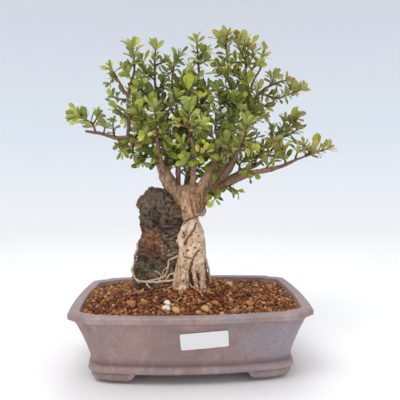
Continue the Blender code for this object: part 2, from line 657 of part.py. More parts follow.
def mesh_pocket(x):
    """Room in the soil for a drain mesh."""
    half = (MESH_HOLES * MESH_HOLE + (MESH_HOLES + 1) * MESH_BAR) / 2 + GAP
    ends = [[(x - half, -half, z), (x + half, -half, z), (x + half, half, z),
             (x - half, half, z)]
            for z in (FLOOR_TOP, FLOOR_TOP + 2 * GAP + MESH_THICKNESS)]
    return loft("mesh_pocket", ends)


def make_soil():
    soil = grain_sheet()
    heights = [RIM_HEIGHT + 20, RIM_HEIGHT, FLOOR_TOP + GAP]
    inside = loft("inside", [inner_outline(z, GAP) for z in heights])
    combine(soil, [inside], "INTERSECT", "MANIFOLD")
    cutters = [rock_solid("rock_room", GAP), wood_solid("wood_room", GAP)]
    cutters += [mesh_pocket(DRAIN_X), mesh_pocket(-DRAIN_X)]
    combine(soil, cutters, "DIFFERENCE", "MANIFOLD")
    keep_largest(soil)
    return paint(soil, "akadama_soil", (0.36, 0.18, 0.09), 0.95)


# Sprays

def bare(points, faces):
    """A shape as points and faces, with the tree that finds what it touches."""
    low = [min(point[i] for point in points) for i in range(3)]
    high = [max(point[i] for point in points) for i in range(3)]
    return {"points": points, "faces": faces, "low": low, "high": high,
            "tree": BVHTree.FromPolygons(points, faces)}


def of_object(obj):
    points = [vert.co / MM for vert in obj.data.vertices]
    return bare(points, [tuple(face.vertices) for face in obj.data.polygons])


def touches(shape, other):
    for i in range(3):
        if shape["high"][i] < other["low"][i] or other["high"][i] < shape["low"][i]:
            return False
    return bool(shape["tree"].overlap(other["tree"]))


def stem_shape(route, first, last, sides, grow=0.0):
    rings = stem_rings(route, first, last, sides, grow)
    points = [point for ring in rings for point in ring]
    faces = []
    for i in range(len(rings) - 1):
        for j in range(sides):
            low, high, k = i * sides, (i + 1) * sides, (j + 1) % sides
            faces += [(low + j, low + k, high + k), (low + j, high + k, high + j)]
    faces.append(tuple(range(sides)))
    faces.append(tuple(range(len(points) - sides, len(points))))
    return bare(points, faces)


def blade_shape(foot, along, face, length, width, bend, grow=0.0):
    """A wedge-shaped blade, round at its tip: one thin solid that arches backwards."""
    side = along.cross(face)
    half = LEAF_THICKNESS / 2 + grow
    spots = [
        (-grow, 0.0),
        (LEAF_WIDEST * length, -width / 2 - grow),
        (LEAF_SHOULDER * length + grow, -width / 2 * LEAF_SHOULDER_WIDTH),
        (LEAF_SHOULDER * length + grow, width / 2 * LEAF_SHOULDER_WIDTH),
        (LEAF_WIDEST * length, width / 2 + grow),
    ]
    points = []
    for height in (half, -half):
        for out, across in spots:
            lift = height - bend * out * out / length
            points.append(foot + along * out + side * across + face * lift)
    upper = [(0, 1, 4), (1, 3, 4), (1, 2, 3)]
    faces = upper + [tuple(corner + 5 for corner in reversed(tri)) for tri in upper]
    for a in range(5):
        b = (a + 1) % 5
        faces.append((a, a + 5, b + 5, b))
    return bare(points, faces)


def spine_shape(foot, along, length):
    """A straight thorn with three flat sides."""
    side = along.orthogonal().normalized()
    other = along.cross(side)
    base = [foot + (side * math.cos(t) + other * math.sin(t)) * SPINE_RADIUS
            for t in (0.0, math.tau / 3, 2 * math.tau / 3)]
    return bare(base + [foot + along * length], [(0, 1, 2), (0, 1, 3), (1, 2, 3), (2, 0, 3)])


def nearest_on_lines(lines, point):
    """The nearest spot to a point on any of some lines."""
    point = Vector(point)
    best, best_gap = None, math.inf
    for line in lines:
        spots = [Vector(spot) for spot in line]
        for a, b in zip(spots, spots[1:]):
            share = (point - a).dot(b - a) / (b - a).length_squared
            spot = a + (b - a) * min(max(share, 0.0), 1.0)
            if (point - spot).length < best_gap:
                best, best_gap = spot, (point - spot).length
    return best


def seated_route(route, wood):
    """The twig's route, begun where it clears the bark of its branch."""
    branches = [branch[0] for branch in BRANCHES.values()]
    start, second = nearest_on_lines(branches, route[0]), Vector(route[1])
    along = (second - start).normalized()
    rest = [Vector(point) for point in route[1:]]
    out = 0.5
    while out < (second - start).length - 1.0:
        first = start + along * out
        trial = stem_shape([first, first + along * 1.5], TWIG_RADIUS, TWIG_RADIUS,
                           TWIG_SIDES, 0.3)
        spot, normal, _, _ = wood["tree"].find_nearest(first)
        if (first - spot).dot(normal) > 0 and not touches(trial, wood):
            return [first] + rest
        out += 0.1
    return [start + along * out] + rest


def whorl_spots(route):
    """Places along a route that bear leaves, from its tip back, with their direction."""
    points = [Vector(point) for point in route]
    spots, wanted, walked = [], 0.4, 0.0
    total = sum((b - a).length for a, b in zip(points, points[1:]))
    for b, a in zip(reversed(points), list(reversed(points))[1:]):
        length = (b - a).length
        while wanted <= walked + length and wanted < total - 3.0:
            along = (b - a).normalized()
            spots.append((b - along * (wanted - walked), along, wanted < 1.0))
            wanted += WHORL_SPACING
        walked += length
    return spots


def leaf_draw(draw, spot, along, at_tip, turn):
    """One leaf of a whorl: where it starts, its direction, its upper face and its size."""
    up = Vector((0, 0, 1))
    side = along.orthogonal().normalized()
    around = Matrix.Rotation(turn, 3, along) @ side
    spread = math.radians(draw.uniform(22, 52) if at_tip else draw.uniform(48, 78))
    out = (along * math.cos(spread) + around * math.sin(spread) + up * 0.22).normalized()
    face = along + up * 0.6
    face = (face - out * face.dot(out)).normalized()
    face = Matrix.Rotation(draw.uniform(-0.35, 0.35), 3, out) @ face
    size = draw.uniform(0.78, 1.16)
    length = LEAF_LENGTH * size
    width = LEAF_WIDTH * size * draw.uniform(0.86, 1.14)
    return spot + out * LEAF_SEAT, out, face, length, width, draw.uniform(0.02, 0.16)


def place_leaf(draw, spot, along, at_tip, turn, own, others):
    """Draws a leaf until it clears the other pieces and its own neighbours."""
    for attempt in range(LEAF_TRIES):
        shift = turn + draw.uniform(-0.45, 0.45) * (1 + attempt / 4)
        wanted = leaf_draw(draw, spot, along, at_tip, shift)
        wide = blade_shape(*wanted, grow=0.3)
        if any(touches(wide, other) for other in others):
            continue
        spot, out, face, length, width, bend = wanted
        outer = blade_shape(spot + out * STALK, out, face, length - STALK, width, bend)
        if not any(touches(outer, mine) for mine in own):
            return blade_shape(*wanted)
    return None


def spray_twigs(name, wood):
    """The twigs of one spray, as routes and as shapes, with its outer thorn."""
    routes = SPRAYS[name]
    main = seated_route(routes[0], wood)
    lines = [main] + [[Vector(point) for point in route] for route in routes[1:]]
    shapes = []
    for i, line in enumerate(lines):
        first = TWIG_RADIUS if i == 0 else TWIG_TIP_RADIUS
        shapes.append(stem_shape(line, first, TWIG_TIP_RADIUS, TWIG_SIDES))
    spines = []
    if name in OUTER_THORNS:
        tip = Vector(OUTER_THORNS[name])
        foot = nearest_on_lines(lines, tip)
        foot = nearest_on_lines(lines, foot + (foot - tip).normalized() * 1.5)
        spines.append(spine_shape(foot, (tip - foot).normalized(), (tip - foot).length))
    return {"lines": lines, "twigs": shapes, "leaves": [], "spines": spines}


def grow_leaves(name, spray, others):
    """Whorls of leaves along the twigs, with a thorn on each of the longer ones."""
    draw = random.Random(name)
    for line in spray["lines"]:
        for order, (spot, along, at_tip) in enumerate(whorl_spots(line)):
            count = SIDE_LEAVES
            if at_tip:
                count = TIP_LEAVES if line is spray["lines"][0] else TIP_LEAVES - 1
            first = draw.uniform(0, math.tau)
            for k in range(count):
                turn = first + math.tau * k / count
                foot = spot - along * LEAF_STAGGER * k
                own = spray["leaves"] + spray["spines"]
                leaf = place_leaf(draw, foot, along, at_tip, turn, own, others)
                if leaf:
                    spray["leaves"].append(leaf)
            if order == 1 and not spray["spines"]:
                add_spine(draw, spray, spot - along * 1.5, along, others)


def add_spine(draw, spray, spot, along, others):
    for _ in range(LEAF_TRIES):
        around = Matrix.Rotation(draw.uniform(0, math.tau), 3, along)
        out = (around @ along.orthogonal().normalized() + along * 0.3).normalized()
        spine = spine_shape(spot, out, SPINE_LENGTH * draw.uniform(0.8, 1.15))
        near = others + spray["leaves"]
        if not any(touches(spine, other) for other in near):
            spray["spines"].append(spine)
            return


def fused(name, shapes):
    parts = [solid(name, shape["points"], shape["faces"]) for shape in shapes]
    whole = combine(parts[0], parts[1:], "UNION", "MANIFOLD")
    whole.name = name
    return keep_largest(whole)


def spray_pieces(spray):
    return spray["twigs"] + spray["leaves"] + spray["spines"]


def make_sprays(trunk, rock):
    """All the sprays: twigs first, and then leaves that keep clear of one another."""
    wood, stone = of_object(trunk), of_object(rock)
    sprays = {name: spray_twigs(name, wood) for name in SPRAYS}
    for name, spray in sprays.items():
        others = [wood, stone]
        for other, pieces in sprays.items():
            if other != name:
                others += spray_pieces(pieces)
        grow_leaves(name, spray, others)
    for name, spray in sprays.items():
        obj = fused(name, spray_pieces(spray))
        paint(obj, name + "_leaf", (0.14, 0.26, 0.035), 0.55)
    return sprays


# Flowers

def bud_shape(centre, radius):
    """A round bud, as a solid with eight faces."""
    steps = [Vector((1, 0, 0)), Vector((0, 1, 0)), Vector((-1, 0, 0)), Vector((0, -1, 0))]
    points = [centre + step * radius for step in steps]
    points += [centre + Vector((0, 0, radius)), centre - Vector((0, 0, radius))]
    faces = []
    for i in range(4):
        following = (i + 1) % 4
        faces += [(i, following, 4), (following, i, 5)]
    return bare(points, faces)


def flower_shape(centre, facing):
    """An open flower: a shallow cup with five lobes."""
    side = facing.orthogonal().normalized()
    points = []
    for thickness in (0.0, -PETAL_THICKNESS):
        points.append(centre + facing * thickness)
        for k in range(10):
            turned = Matrix.Rotation(math.tau * k / 10, 3, facing) @ side
            radius = PETAL_LENGTH if k % 2 == 0 else PETAL_LENGTH * 0.6
            points.append(centre + turned * radius + facing * (thickness + PETAL_LIFT))
    faces = []
    for k in range(10):
        a, b = 1 + k, 1 + (k + 1) % 10
        faces += [(0, a, b), (11, b + 11, a + 11), (a, a + 11, b + 11, b)]
    return bare(points, faces)


def nearest_on_twigs(spray, point):
    """The spot on a spray's twigs that is nearest to a point."""
    return nearest_on_lines(spray["lines"], point)


def bunch_shapes(draw, start, along):
    """A stalk that fans out into one open flower and some buds."""
    middle = start + along * 3.3
    side = along.orthogonal().normalized()
    shapes = [stem_shape([start, middle + along * 0.3], 0.45, 0.45, 3),
              flower_shape(middle + along * 3.0, along)]
    first = draw.uniform(0, math.tau)
    for k in range(BUDS):
        around = Matrix.Rotation(first + math.tau * k / BUDS, 3, along) @ side
        out = (along * 0.3 + around).normalized()
        end = middle + out * 3.6
        shapes.append(stem_shape([middle - out * 0.2, end], 0.4, 0.4, 3))
        shapes.append(bud_shape(end, BUD_RADIUS))
    shapes.append(stem_shape([middle, middle + along * 2.8], 0.4, 0.4, 3))
    return shapes


def make_flowers(name, sprays, wood):
    """A bunch of flowers beside a spray, turned until it touches nothing."""
    seat, near, hang = FLOWERS[name]
    draw = random.Random(name)
    foot = nearest_on_twigs(sprays[seat], near)
    others = [wood] + [piece for spray in sprays.values() for piece in spray_pieces(spray)]
    for attempt in range(FLOWER_TRIES):
        wobble = Vector([draw.uniform(-0.4, 0.4) for _ in range(3)]) * (attempt / 20)
        along = (Vector(hang) + wobble).normalized()
        shapes = bunch_shapes(draw, foot + along * (TWIG_RADIUS + 0.6), along)
        if not any(touches(shape, other) for shape in shapes for other in others):
            break
    paint(fused(name, shapes), name + "_petal", (0.62, 0.55, 0.05), 0.5)


# Assembly

def stand_on_origin():
    """Moves all pieces so that the middle of the whole part's foot is the origin."""
    pieces = list(bpy.context.scene.collection.objects)
    corners = [vert.co for obj in pieces for vert in obj.data.vertices]
    low = Vector([min(corner[i] for corner in corners) for i in range(3)])
    high = Vector([max(corner[i] for corner in corners) for i in range(3)])
    middle = (low + high) / 2
    shift = Matrix.Translation((-middle.x, -middle.y, -low.z))
    for obj in pieces:
        obj.data.transform(shift)


def main():
    clear_scene()
    make_pot()
    make_drain_mesh("drain_mesh_left", -DRAIN_X)
    make_drain_mesh("drain_mesh_right", DRAIN_X)
    make_label()
    trunk = make_trunk()
    rock = make_rock()
    make_soil()
    sprays = make_sprays(trunk, rock)
    wood = of_object(trunk)
    for name in FLOWERS:
        make_flowers(name, sprays, wood)
    stand_on_origin()


main()
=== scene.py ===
"""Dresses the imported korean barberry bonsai: pot, soil, rock, wood, leaves and flowers.

The tables give millimetres from the middle of the pot's foot, and settle() turns a
finished mesh into metres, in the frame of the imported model.
"""

import math
import random

import bmesh
import bpy
import numpy as np
from mathutils import Matrix, Vector, kdtree, noise


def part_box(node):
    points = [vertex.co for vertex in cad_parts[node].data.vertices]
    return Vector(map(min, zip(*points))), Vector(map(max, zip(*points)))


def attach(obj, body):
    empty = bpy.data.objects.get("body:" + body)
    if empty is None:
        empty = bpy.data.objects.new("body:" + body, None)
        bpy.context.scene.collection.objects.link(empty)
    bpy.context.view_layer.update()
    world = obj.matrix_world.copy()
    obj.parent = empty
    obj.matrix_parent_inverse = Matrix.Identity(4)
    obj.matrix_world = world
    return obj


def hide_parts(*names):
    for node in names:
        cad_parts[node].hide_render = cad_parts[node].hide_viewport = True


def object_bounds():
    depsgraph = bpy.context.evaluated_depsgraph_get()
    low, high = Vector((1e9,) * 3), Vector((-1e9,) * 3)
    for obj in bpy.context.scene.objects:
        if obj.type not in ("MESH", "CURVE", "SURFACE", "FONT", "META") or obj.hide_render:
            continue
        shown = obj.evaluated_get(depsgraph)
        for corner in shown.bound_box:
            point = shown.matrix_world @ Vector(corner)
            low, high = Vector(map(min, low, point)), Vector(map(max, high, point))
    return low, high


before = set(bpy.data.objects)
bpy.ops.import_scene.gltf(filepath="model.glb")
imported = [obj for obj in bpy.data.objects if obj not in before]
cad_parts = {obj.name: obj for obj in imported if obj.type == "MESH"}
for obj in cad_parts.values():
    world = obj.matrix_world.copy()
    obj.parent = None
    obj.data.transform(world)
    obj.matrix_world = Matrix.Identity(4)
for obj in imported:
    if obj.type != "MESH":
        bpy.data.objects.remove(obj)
CAD_LOW, CAD_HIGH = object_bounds()

noise.seed_set(7)  # noise_vector is seeded from the clock otherwise
MM = 0.001
POT_LOW, POT_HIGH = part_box("pot")
ORIGIN = Vector(((POT_LOW.x + POT_HIGH.x) / 2, (POT_LOW.y + POT_HIGH.y) / 2, POT_LOW.z))
BOX_LOW = (CAD_LOW - ORIGIN) / MM
BOX_HIGH = (CAD_HIGH - ORIGIN) / MM

# Pot
RIM_WIDTH, RIM_DEPTH, RIM_HEIGHT = 190.0, 150.0, 57.4
RIM_FLAT = 8.0  # width of the flat rim
DEPTH_RATE = 1.24  # how much faster the depth narrows than the width
CORNER, CORNER_STEP = 19.1, 5.0
FRONT_BOW, SIDE_BOW = 6.6, 2.9
SOFT_BODY, SOFT_LIP = 0.8, 0.1  # how rounded the corners are, against stepped ones
SOFT_FADE = (26, 49)  # heights between which the corners change from one to the other
BODY_FOOT_WIDTH, BODY_FLARE = 160.2, 19.2
BODY_LOW, BODY_HIGH = 15.6, 48.0
BAND_RINGS = [(9.0, 161.5), (10.3, 164.7), (12.6, 165.2), (14.4, 163.4)]  # height, width
LIP_RINGS = [(50.4, 183.0), (52.2, 188.6), (53.4, 190.0), (56.3, 190.0), (57.4, 188.2)]
FLOOR_TOP, FLOOR_WIDTH = 17.0, 146.0
FOOT_RINGS = [(10.4, 160.4), (7.0, 161.6), (3.4, 159.4), (0.0, 151.0)]
FOOT_INNER_WIDTH = 124.0
FRONT_ARCH, SIDE_ARCH = 40.0, 22.0  # half the opening between two feet, at its top
ARCH_CURVE = [(0.0, 9.7), (3.0, 8.2), (4.6, 5.6), (8.0, 3.0), (11.5, 0.0), (12.5, -1.0)]
DRAIN_DIAMETER, DRAIN_X = 14.0, 38.0

# Label
LABEL_CENTRE = (9.2, 37.4)  # x and z on the front wall
LABEL_WIDTH, LABEL_HEIGHT, LABEL_TILT = 35.6, 14.0, 4.0
LABEL_CORNER = 1.3  # radius of its corners

# Soil
SOIL_EDGE, MOUND_HEIGHT = 53.5, 22.0
MOUND_CENTRE, MOUND_SPREAD = (-9.0, -1.0), (48.0, 39.0)
STONES = [  # single stones on the soil: x, y, length, tone of the clay, and whether it is white
    (-18.0, -44.8, 5.4, 0.5, True), (-18.5, -52.6, 6.6, 0.5, True),
    (-11.2, -56.4, 6.7, 0.93, False), (10.8, -53.5, 6.4, 0.90, False),
    (19.0, -43.5, 5.8, 0.84, False), (34.0, -1.0, 6.2, 0.95, False),
    (46.0, -38.0, 6.2, 0.86, False),
    (-46.0, -40.0, 6.6, 0.88, False),
]

# Rock: height, then its left, right, front and back edges at that height
ROCK = [
    (44, -46, 18, -17, 24),
    (60, -49, 20, -20, 28),
    (72, -48.5, 17.5, -19.5, 28),
    (82, -47.5, 13.5, -18.5, 26),
    (92, -44.8, 7.5, -18, 25),
    (101, -43, 2, -17.5, 24),
    (109, -40.5, -2, -17.5, 22),
    (118, -41, -4, -18, 21),
    (127, -42, -6, -18, 19),
    (134, -44, -8, -17, 18),
    (141, -40, -11, -14, 15),
    (146, -36.5, -16, -8, 10),
    (148.4, -33, -22, -4, 5),
]
ROCK_SQUARENESS, ROCK_ROUGHNESS = 2.5, 1.8

# Trunk, as the rock: height, then left, right, front and back edges
TRUNK = [
    (52, -10, 11, -22, 2),
    (72, -9.6, 11, -22, 4),
    (86, -8, 11.5, -21, 6),
    (92, -7.4, 12.4, -20.5, 7),
    (98, -9.4, 12.8, -19.5, 8),
    (105, -8.6, 13.0, -17, 9),
    (112, -6, 11.6, -14, 9),
    (119, -5, 7.8, -12, 8),
    (122.5, -5, 6.4, -11, 8),
    (128, -7.5, 9.5, -12, 9),
    (134, -11, 15, -13, 10),
    (140, -15, 17, -13, 11),
    (145.5, -18, 15, -11, 10),
    (149.5, -16, 9, -8, 8),
]
TRUNK_SQUARENESS, TRUNK_ROUGHNESS = 2.2, 1.3

# Roots that run down the foot of the trunk into the soil: route, first and last radius
ROOTS = [
    ([(-4, -12, 101), (-5, -18, 88), (-5.5, -21.5, 76), (-6, -23, 66), (-7.5, -24, 50)], 4.4, 5.4),
    ([(3.5, -13, 97), (4, -19, 83), (3.2, -22, 72), (3.8, -24, 64), (5.4, -25, 50)], 2.8, 2.0),
    ([(8.4, -12, 98), (8.6, -17, 84), (8.4, -20, 73), (9.8, -22, 64), (13, -24, 50)], 3.0, 2.0),
    ([(10.5, -4, 98), (10.4, -9, 84), (11, -12, 72), (13, -14, 63), (17, -17, 50)], 3.2, 2.0),
    ([(9, 3, 98), (11.5, 4, 82), (14, 5, 70), (17, 6, 60), (21, 7, 50)], 3.2, 2.0),
    ([(4, 7, 98), (7, 12, 82), (10, 16, 70), (13, 20, 60), (17, 24, 50)], 3.2, 2.0),
    ([(-6, -9, 94), (-10, -17, 82), (-12.4, -22, 71), (-15, -26, 62), (-18, -29, 50)], 2.4, 1.6),
]

# Thin roots that cling to the rock: angle round it and height, then the radii
ROCK_ROOTS = [
    ([(52, 118), (80, 113), (110, 108), (140, 103), (166, 100), (184, 96), (190, 90),
      (184, 84), (188, 77), (200, 71.5), (222, 69.5), (246, 70), (268, 71), (286, 74),
      (300, 79)], 1.9, 1.4),
    ([(322, 108), (314, 102), (307, 95), (298, 90), (282, 88), (277, 82), (268, 77),
      (258, 71)], 1.5, 1.1),
    ([(236, 70.5), (244, 66), (250, 60), (254, 52)], 1.3, 0.9),
    ([(110, 108), (104, 94), (112, 80), (106, 66), (110, 52)], 1.6, 1.1),
]

# Branches: route, first and last radius
BRANCHES = {
    "left_limb": ([(-9, 0, 138), (-18, -1, 154), (-22, -2, 164), (-27, -3, 173)], 6.2, 3.2),
    "left_limb_end": ([(-26, -3, 171), (-33, -4, 179), (-41, -5, 184), (-51, -7, 189),
                       (-61, -8, 190), (-72, -9, 193), (-84, -10, 195)], 3.0, 1.0),
    "left_fork": ([(-21, -2, 162), (-17, 0, 174), (-15, 4, 182), (-18, 9, 197),
                   (-23, 12, 216), (-28, 11, 236), (-28, 10, 246)], 2.8, 0.9),
    "left_upright": ([(-50, -7, 188), (-49, -9, 204), (-49, -9, 224), (-45, -7, 240),
                      (-44, -6, 246)], 1.6, 0.8),
    "left_upright_fork": ([(-49, -9, 222), (-54, -10, 231), (-58, -11, 238)], 1.0, 0.8),
    "left_stub": ([(-49, -9, 209), (-60, -6, 217), (-68, -4, 222)], 0.9, 0.8),
    "left_front_twig": ([(-40, -5, 183), (-35, -12, 191), (-28, -20, 200), (-19, -26, 206)],
                        1.4, 0.9),
    "middle_left_stem": ([(-9, 1, 140), (-9, 3, 156), (-9, 5, 171), (-9, 7, 197),
                          (-10, 8, 216), (-13, 8, 233), (-13, 8, 244)], 2.3, 0.9),
    "middle_stem": ([(-2, 5, 142), (-2, 9, 153), (1, 13, 165), (4, 16, 180), (6, 18, 207),
                     (9, 18, 233), (10, 16, 247)], 2.2, 0.9),
    "fork_limb": ([(7, -4, 140), (15, -9, 156), (21, -13, 168)], 4.4, 3.4),
    "fork_second": ([(13, -6, 146), (22, -8, 157), (29, -9, 168), (31, -9, 180)], 3.2, 1.5),
    "fork_left": ([(20, -13, 165), (22, -18, 179), (23, -22, 189), (21, -25, 193)], 2.4, 1.2),
    "fork_right": ([(20, -13, 165), (26, -12, 173), (28, -10, 181), (28, -9, 195),
                    (27, -11, 206), (26, -13, 212)], 2.2, 0.9),
    "right_limb": ([(9, 1, 140), (22, 4, 153), (33, 6, 161), (39, 8, 173), (43, 8, 187),
                    (47, 7, 200), (51, 6, 212)], 3.6, 2.6),
    "right_stem": ([(51, 6, 210), (52, 5, 224), (50, 3, 239), (49, 3, 245)], 1.9, 0.9),
    "right_stem_fork": ([(51, 5, 220), (56, 6, 238), (62, 6, 248)], 1.2, 0.8),
    "top_stem": ([(50, 6, 208), (42, 2, 222), (35, -1, 234), (33, -3, 243)], 1.4, 0.9),
    "top_right_twig": ([(50, 6, 212), (59, 4, 225), (64, 2, 230), (69, 1, 233)], 1.6, 0.9),
    "low_right_limb": ([(9, -3, 137), (24, -7, 147), (36, -10, 153), (50, -13, 159),
                        (63, -15, 162), (70, -16, 163), (78, -17, 166), (87, -18, 170),
                        (95, -18, 173)], 3.1, 0.9),
    "right_back_limb": ([(22, 4, 150), (34, 7, 155), (47, 10, 162), (59, 12, 166),
                         (67, 12, 173), (72, 11, 179)], 2.2, 1.1),
    "back_left_limb": ([(-5, 6, 140), (-16, 24, 158), (-30, 42, 182), (-41, 53, 206)],
                       2.8, 1.1),
    "back_limb": ([(0, 8, 140), (2, 32, 167), (0, 50, 196), (3, 60, 224)], 3.0, 1.1),
    "back_right_limb": ([(6, 8, 140), (23, 30, 166), (40, 48, 191), (52, 57, 211)], 2.8, 1.1),
    "front_left_limb": ([(-20, -3, 160), (-24, -20, 176), (-25, -34, 189)], 2.2, 1.1),
    "front_limb": ([(1, -6, 140), (3, -24, 158), (3, -40, 175), (0, -48, 188)], 2.4, 1.1),
    "front_right_limb": ([(20, -6, 147), (32, -26, 165), (38, -40, 176)], 2.0, 1.0),
}

# Leafy sprays: the first route starts on a branch, and each other one on the first
SPRAYS = {
    "far_left_spray": [[(-76, -10, 194), (-78, -11, 200), (-83, -12, 204), (-88, -13, 206)],
                       [(-78, -11, 200), (-75, -8, 206)]],
    "left_limb_spray": [[(-61, -8, 190), (-62, -8, 197), (-62, -8, 202)]],
    "left_low_spray": [[(-57, -8, 189), (-57, -11, 183), (-55, -13, 179)]],
    "left_under_spray": [[(-46, -6, 186), (-46, -10, 179), (-45, -12, 176)]],
    "limb_under_spray": [[(-33, -4, 179), (-37, -9, 174), (-39, -12, 169)]],
    "upright_low_spray": [[(-49, -9, 204), (-55, -11, 210), (-59, -13, 213)]],
    "upright_side_spray": [[(-49, -9, 220), (-57, -4, 222), (-63, 0, 224)]],
    "upright_left_tip_spray": [[(-58, -11, 238), (-60, -12, 242), (-62, -12, 246)],
                               [(-59, -12, 240), (-63, -14, 233)]],
    "upright_tip_spray": [[(-44, -6, 246), (-44, -6, 253), (-45, -6, 263)],
                          [(-44, -6, 249), (-50, -12, 247)]],
    "upright_back_spray": [[(-47, -8, 232), (-40, 2, 238), (-35, 8, 245)]],
    "fork_tip_spray": [[(-28, 10, 246), (-28, 8, 255), (-27, 6, 265)],
                       [(-28, 8, 252), (-19, 4, 254)]],
    "fork_left_spray": [[(-24, 12, 220), (-32, 2, 223), (-38, -6, 229)],
                        [(-32, 2, 223), (-37, -6, 216)]],
    "fork_low_spray": [[(20, -14, 170), (14, -24, 177), (10, -30, 184)]],
    "front_twig_tip_spray": [[(-19, -26, 206), (-14, -28, 212), (-10, -30, 219)]],
    "front_twig_side_spray": [[(-31, -16, 196), (-37, -24, 201), (-40, -28, 207)]],
    "left_inner_spray": [[(-41, -5, 184), (-42, 4, 194), (-44, 10, 204)]],
    "middle_left_tip_spray": [[(-13, 8, 244), (-11, 8, 253), (-7, 7, 259)],
                              [(-12, 8, 248), (-19, 16, 244)]],
    "middle_left_low_spray": [[(-9, 5, 171), (-16, -8, 179), (-21, -14, 186)]],
    "middle_left_mid_spray": [[(-9, 7, 195), (-5, -6, 202), (0, -12, 213)]],
    "middle_left_high_spray": [[(-11, 8, 223), (-5, -6, 227), (1, -14, 231)]],
    "middle_tip_spray": [[(10, 16, 247), (9, 13, 261), (8, 10, 272)],
                         [(10, 14, 254), (16, 4, 255)]],
    "middle_mid_spray": [[(6, 18, 208), (11, 2, 217), (15, -8, 227)]],
    "middle_low_spray": [[(4, 16, 179), (0, 2, 186), (0, -6, 196)]],
    "middle_base_spray": [[(2, 9, 154), (7, -4, 163), (10, -10, 169)]],
    "fork_left_tip_spray": [[(21, -25, 193), (21, -28, 200), (21, -31, 206)],
                            [(21, -27, 197), (28, -33, 194)]],
    "fork_right_tip_spray": [[(26, -13, 212), (25, -15, 219), (24, -16, 226)],
                             [(25, -14, 215), (34, -20, 220)]],
    "top_spray": [[(33, -3, 243), (33, -4, 255), (31, -5, 268)],
                  [(33, -3, 249), (26, -9, 248)]],
    "crown_spray": [[(49, 3, 245), (49, 2, 257), (48, 2, 271)],
                    [(49, 2, 253), (40, -8, 251)]],
    "crown_right_spray": [[(62, 6, 248), (63, 5, 257), (65, 5, 264)]],
    "twig_tip_spray": [[(69, 1, 233), (77, -1, 236), (82, -3, 237)],
                       [(72, 1, 234), (71, 8, 242)]],
    "high_right_spray": [[(61, 3, 228), (74, -4, 222), (84, -7, 225), (93, -9, 228)]],
    "stem_front_spray": [[(51, 5, 225), (48, -10, 226), (48, -17, 231)]],
    "right_limb_spray": [[(48, 7, 204), (54, 3, 205), (61, 0, 209)]],
    "right_limb_low_spray": [[(43, 8, 187), (49, -4, 187), (56, -10, 189)]],
    "right_back_spray": [[(72, 11, 179), (81, 8, 190), (88, 6, 202)],
                         [(75, 10, 183), (72, 6, 196)]],
    "right_inner_spray": [[(57, 12, 165), (59, 2, 174), (63, -3, 180)]],
    "low_right_tip_spray": [[(95, -18, 173), (104, -19, 176), (113, -20, 179)],
                            [(99, -18, 175), (93, -22, 182)]],
    "low_right_spray": [[(79, -17, 167), (77, -20, 174), (75, -22, 180)]],
    "low_right_inner_spray": [[(55, -14, 161), (49, -20, 156), (46, -28, 159)]],
    "low_right_under_spray": [[(31, -9, 151), (34, -16, 148), (39, -20, 145)]],
    "low_leaf_spray": [[(17, -5, 143), (20, -13, 142), (21, -17, 139)]],
    "back_left_spray": [[(-41, 53, 206), (-48, 56, 222), (-52, 58, 234)],
                        [(-44, 55, 214), (-55, 44, 211)], [(-46, 56, 218), (-35, 50, 232)]],
    "back_spray": [[(3, 60, 224), (3, 60, 240), (4, 56, 256)],
                   [(3, 60, 232), (-12, 56, 237)], [(3, 60, 230), (18, 56, 233)]],
    "back_right_spray": [[(52, 57, 211), (63, 60, 224), (68, 58, 239)],
                         [(56, 58, 217), (45, 60, 232)], [(57, 58, 218), (72, 50, 213)]],
    "back_low_spray": [[(2, 42, 181), (-7, 56, 192), (-19, 64, 198)],
                       [(-3, 50, 186), (10, 64, 198)]],
    "back_right_low_spray": [[(31, 38, 179), (48, 50, 180), (64, 56, 185)],
                             [(39, 44, 179), (37, 56, 193)]],
    "front_left_spray": [[(-25, -34, 189), (-25, -42, 199), (-26, -46, 209)],
                         [(-25, -38, 195), (-33, -46, 190)]],
    "front_spray": [[(0, -48, 188), (0, -54, 196), (-1, -56, 206)],
                    [(0, -51, 192), (8, -58, 196)], [(0, -52, 193), (-8, -56, 197)]],
    "front_right_spray": [[(38, -40, 176), (41, -48, 186), (43, -52, 196)],
                          [(39, -44, 181), (46, -52, 177)]],
}
# How leafy a spray is, where that is not as usual: leaves at a tip and at a joint, their size
HABITS = {
    "left_low_spray": (5, 3, 0.75), "left_under_spray": (5, 3, 0.75),
    "limb_under_spray": (5, 3, 0.78), "left_limb_spray": (5, 3, 0.75),
    "upright_side_spray": (5, 3, 0.72), "upright_left_tip_spray": (5, 3, 0.68),
    "upright_low_spray": (6, 3, 0.8), "twig_tip_spray": (6, 4, 0.68),
    "high_right_spray": (6, 4, 0.8), "low_right_tip_spray": (5, 4, 0.78),
    "right_limb_spray": (4, 2, 0.62), "right_limb_low_spray": (5, 3, 0.68),
    "low_right_under_spray": (4, 1, 0.72), "low_leaf_spray": (3, 2, 0.8),
    "low_right_inner_spray": (5, 3, 0.7), "middle_tip_spray": (7, 4, 0.82),
    "crown_right_spray": (6, 3, 0.78), "top_spray": (8, 4, 0.92), "fork_tip_spray": (8, 4, 0.9),
}
USUAL_HABIT = (8, 4, 1.0)
SIDE_TWIG = 0.78  # how much smaller the leaves on the second route of a spray are

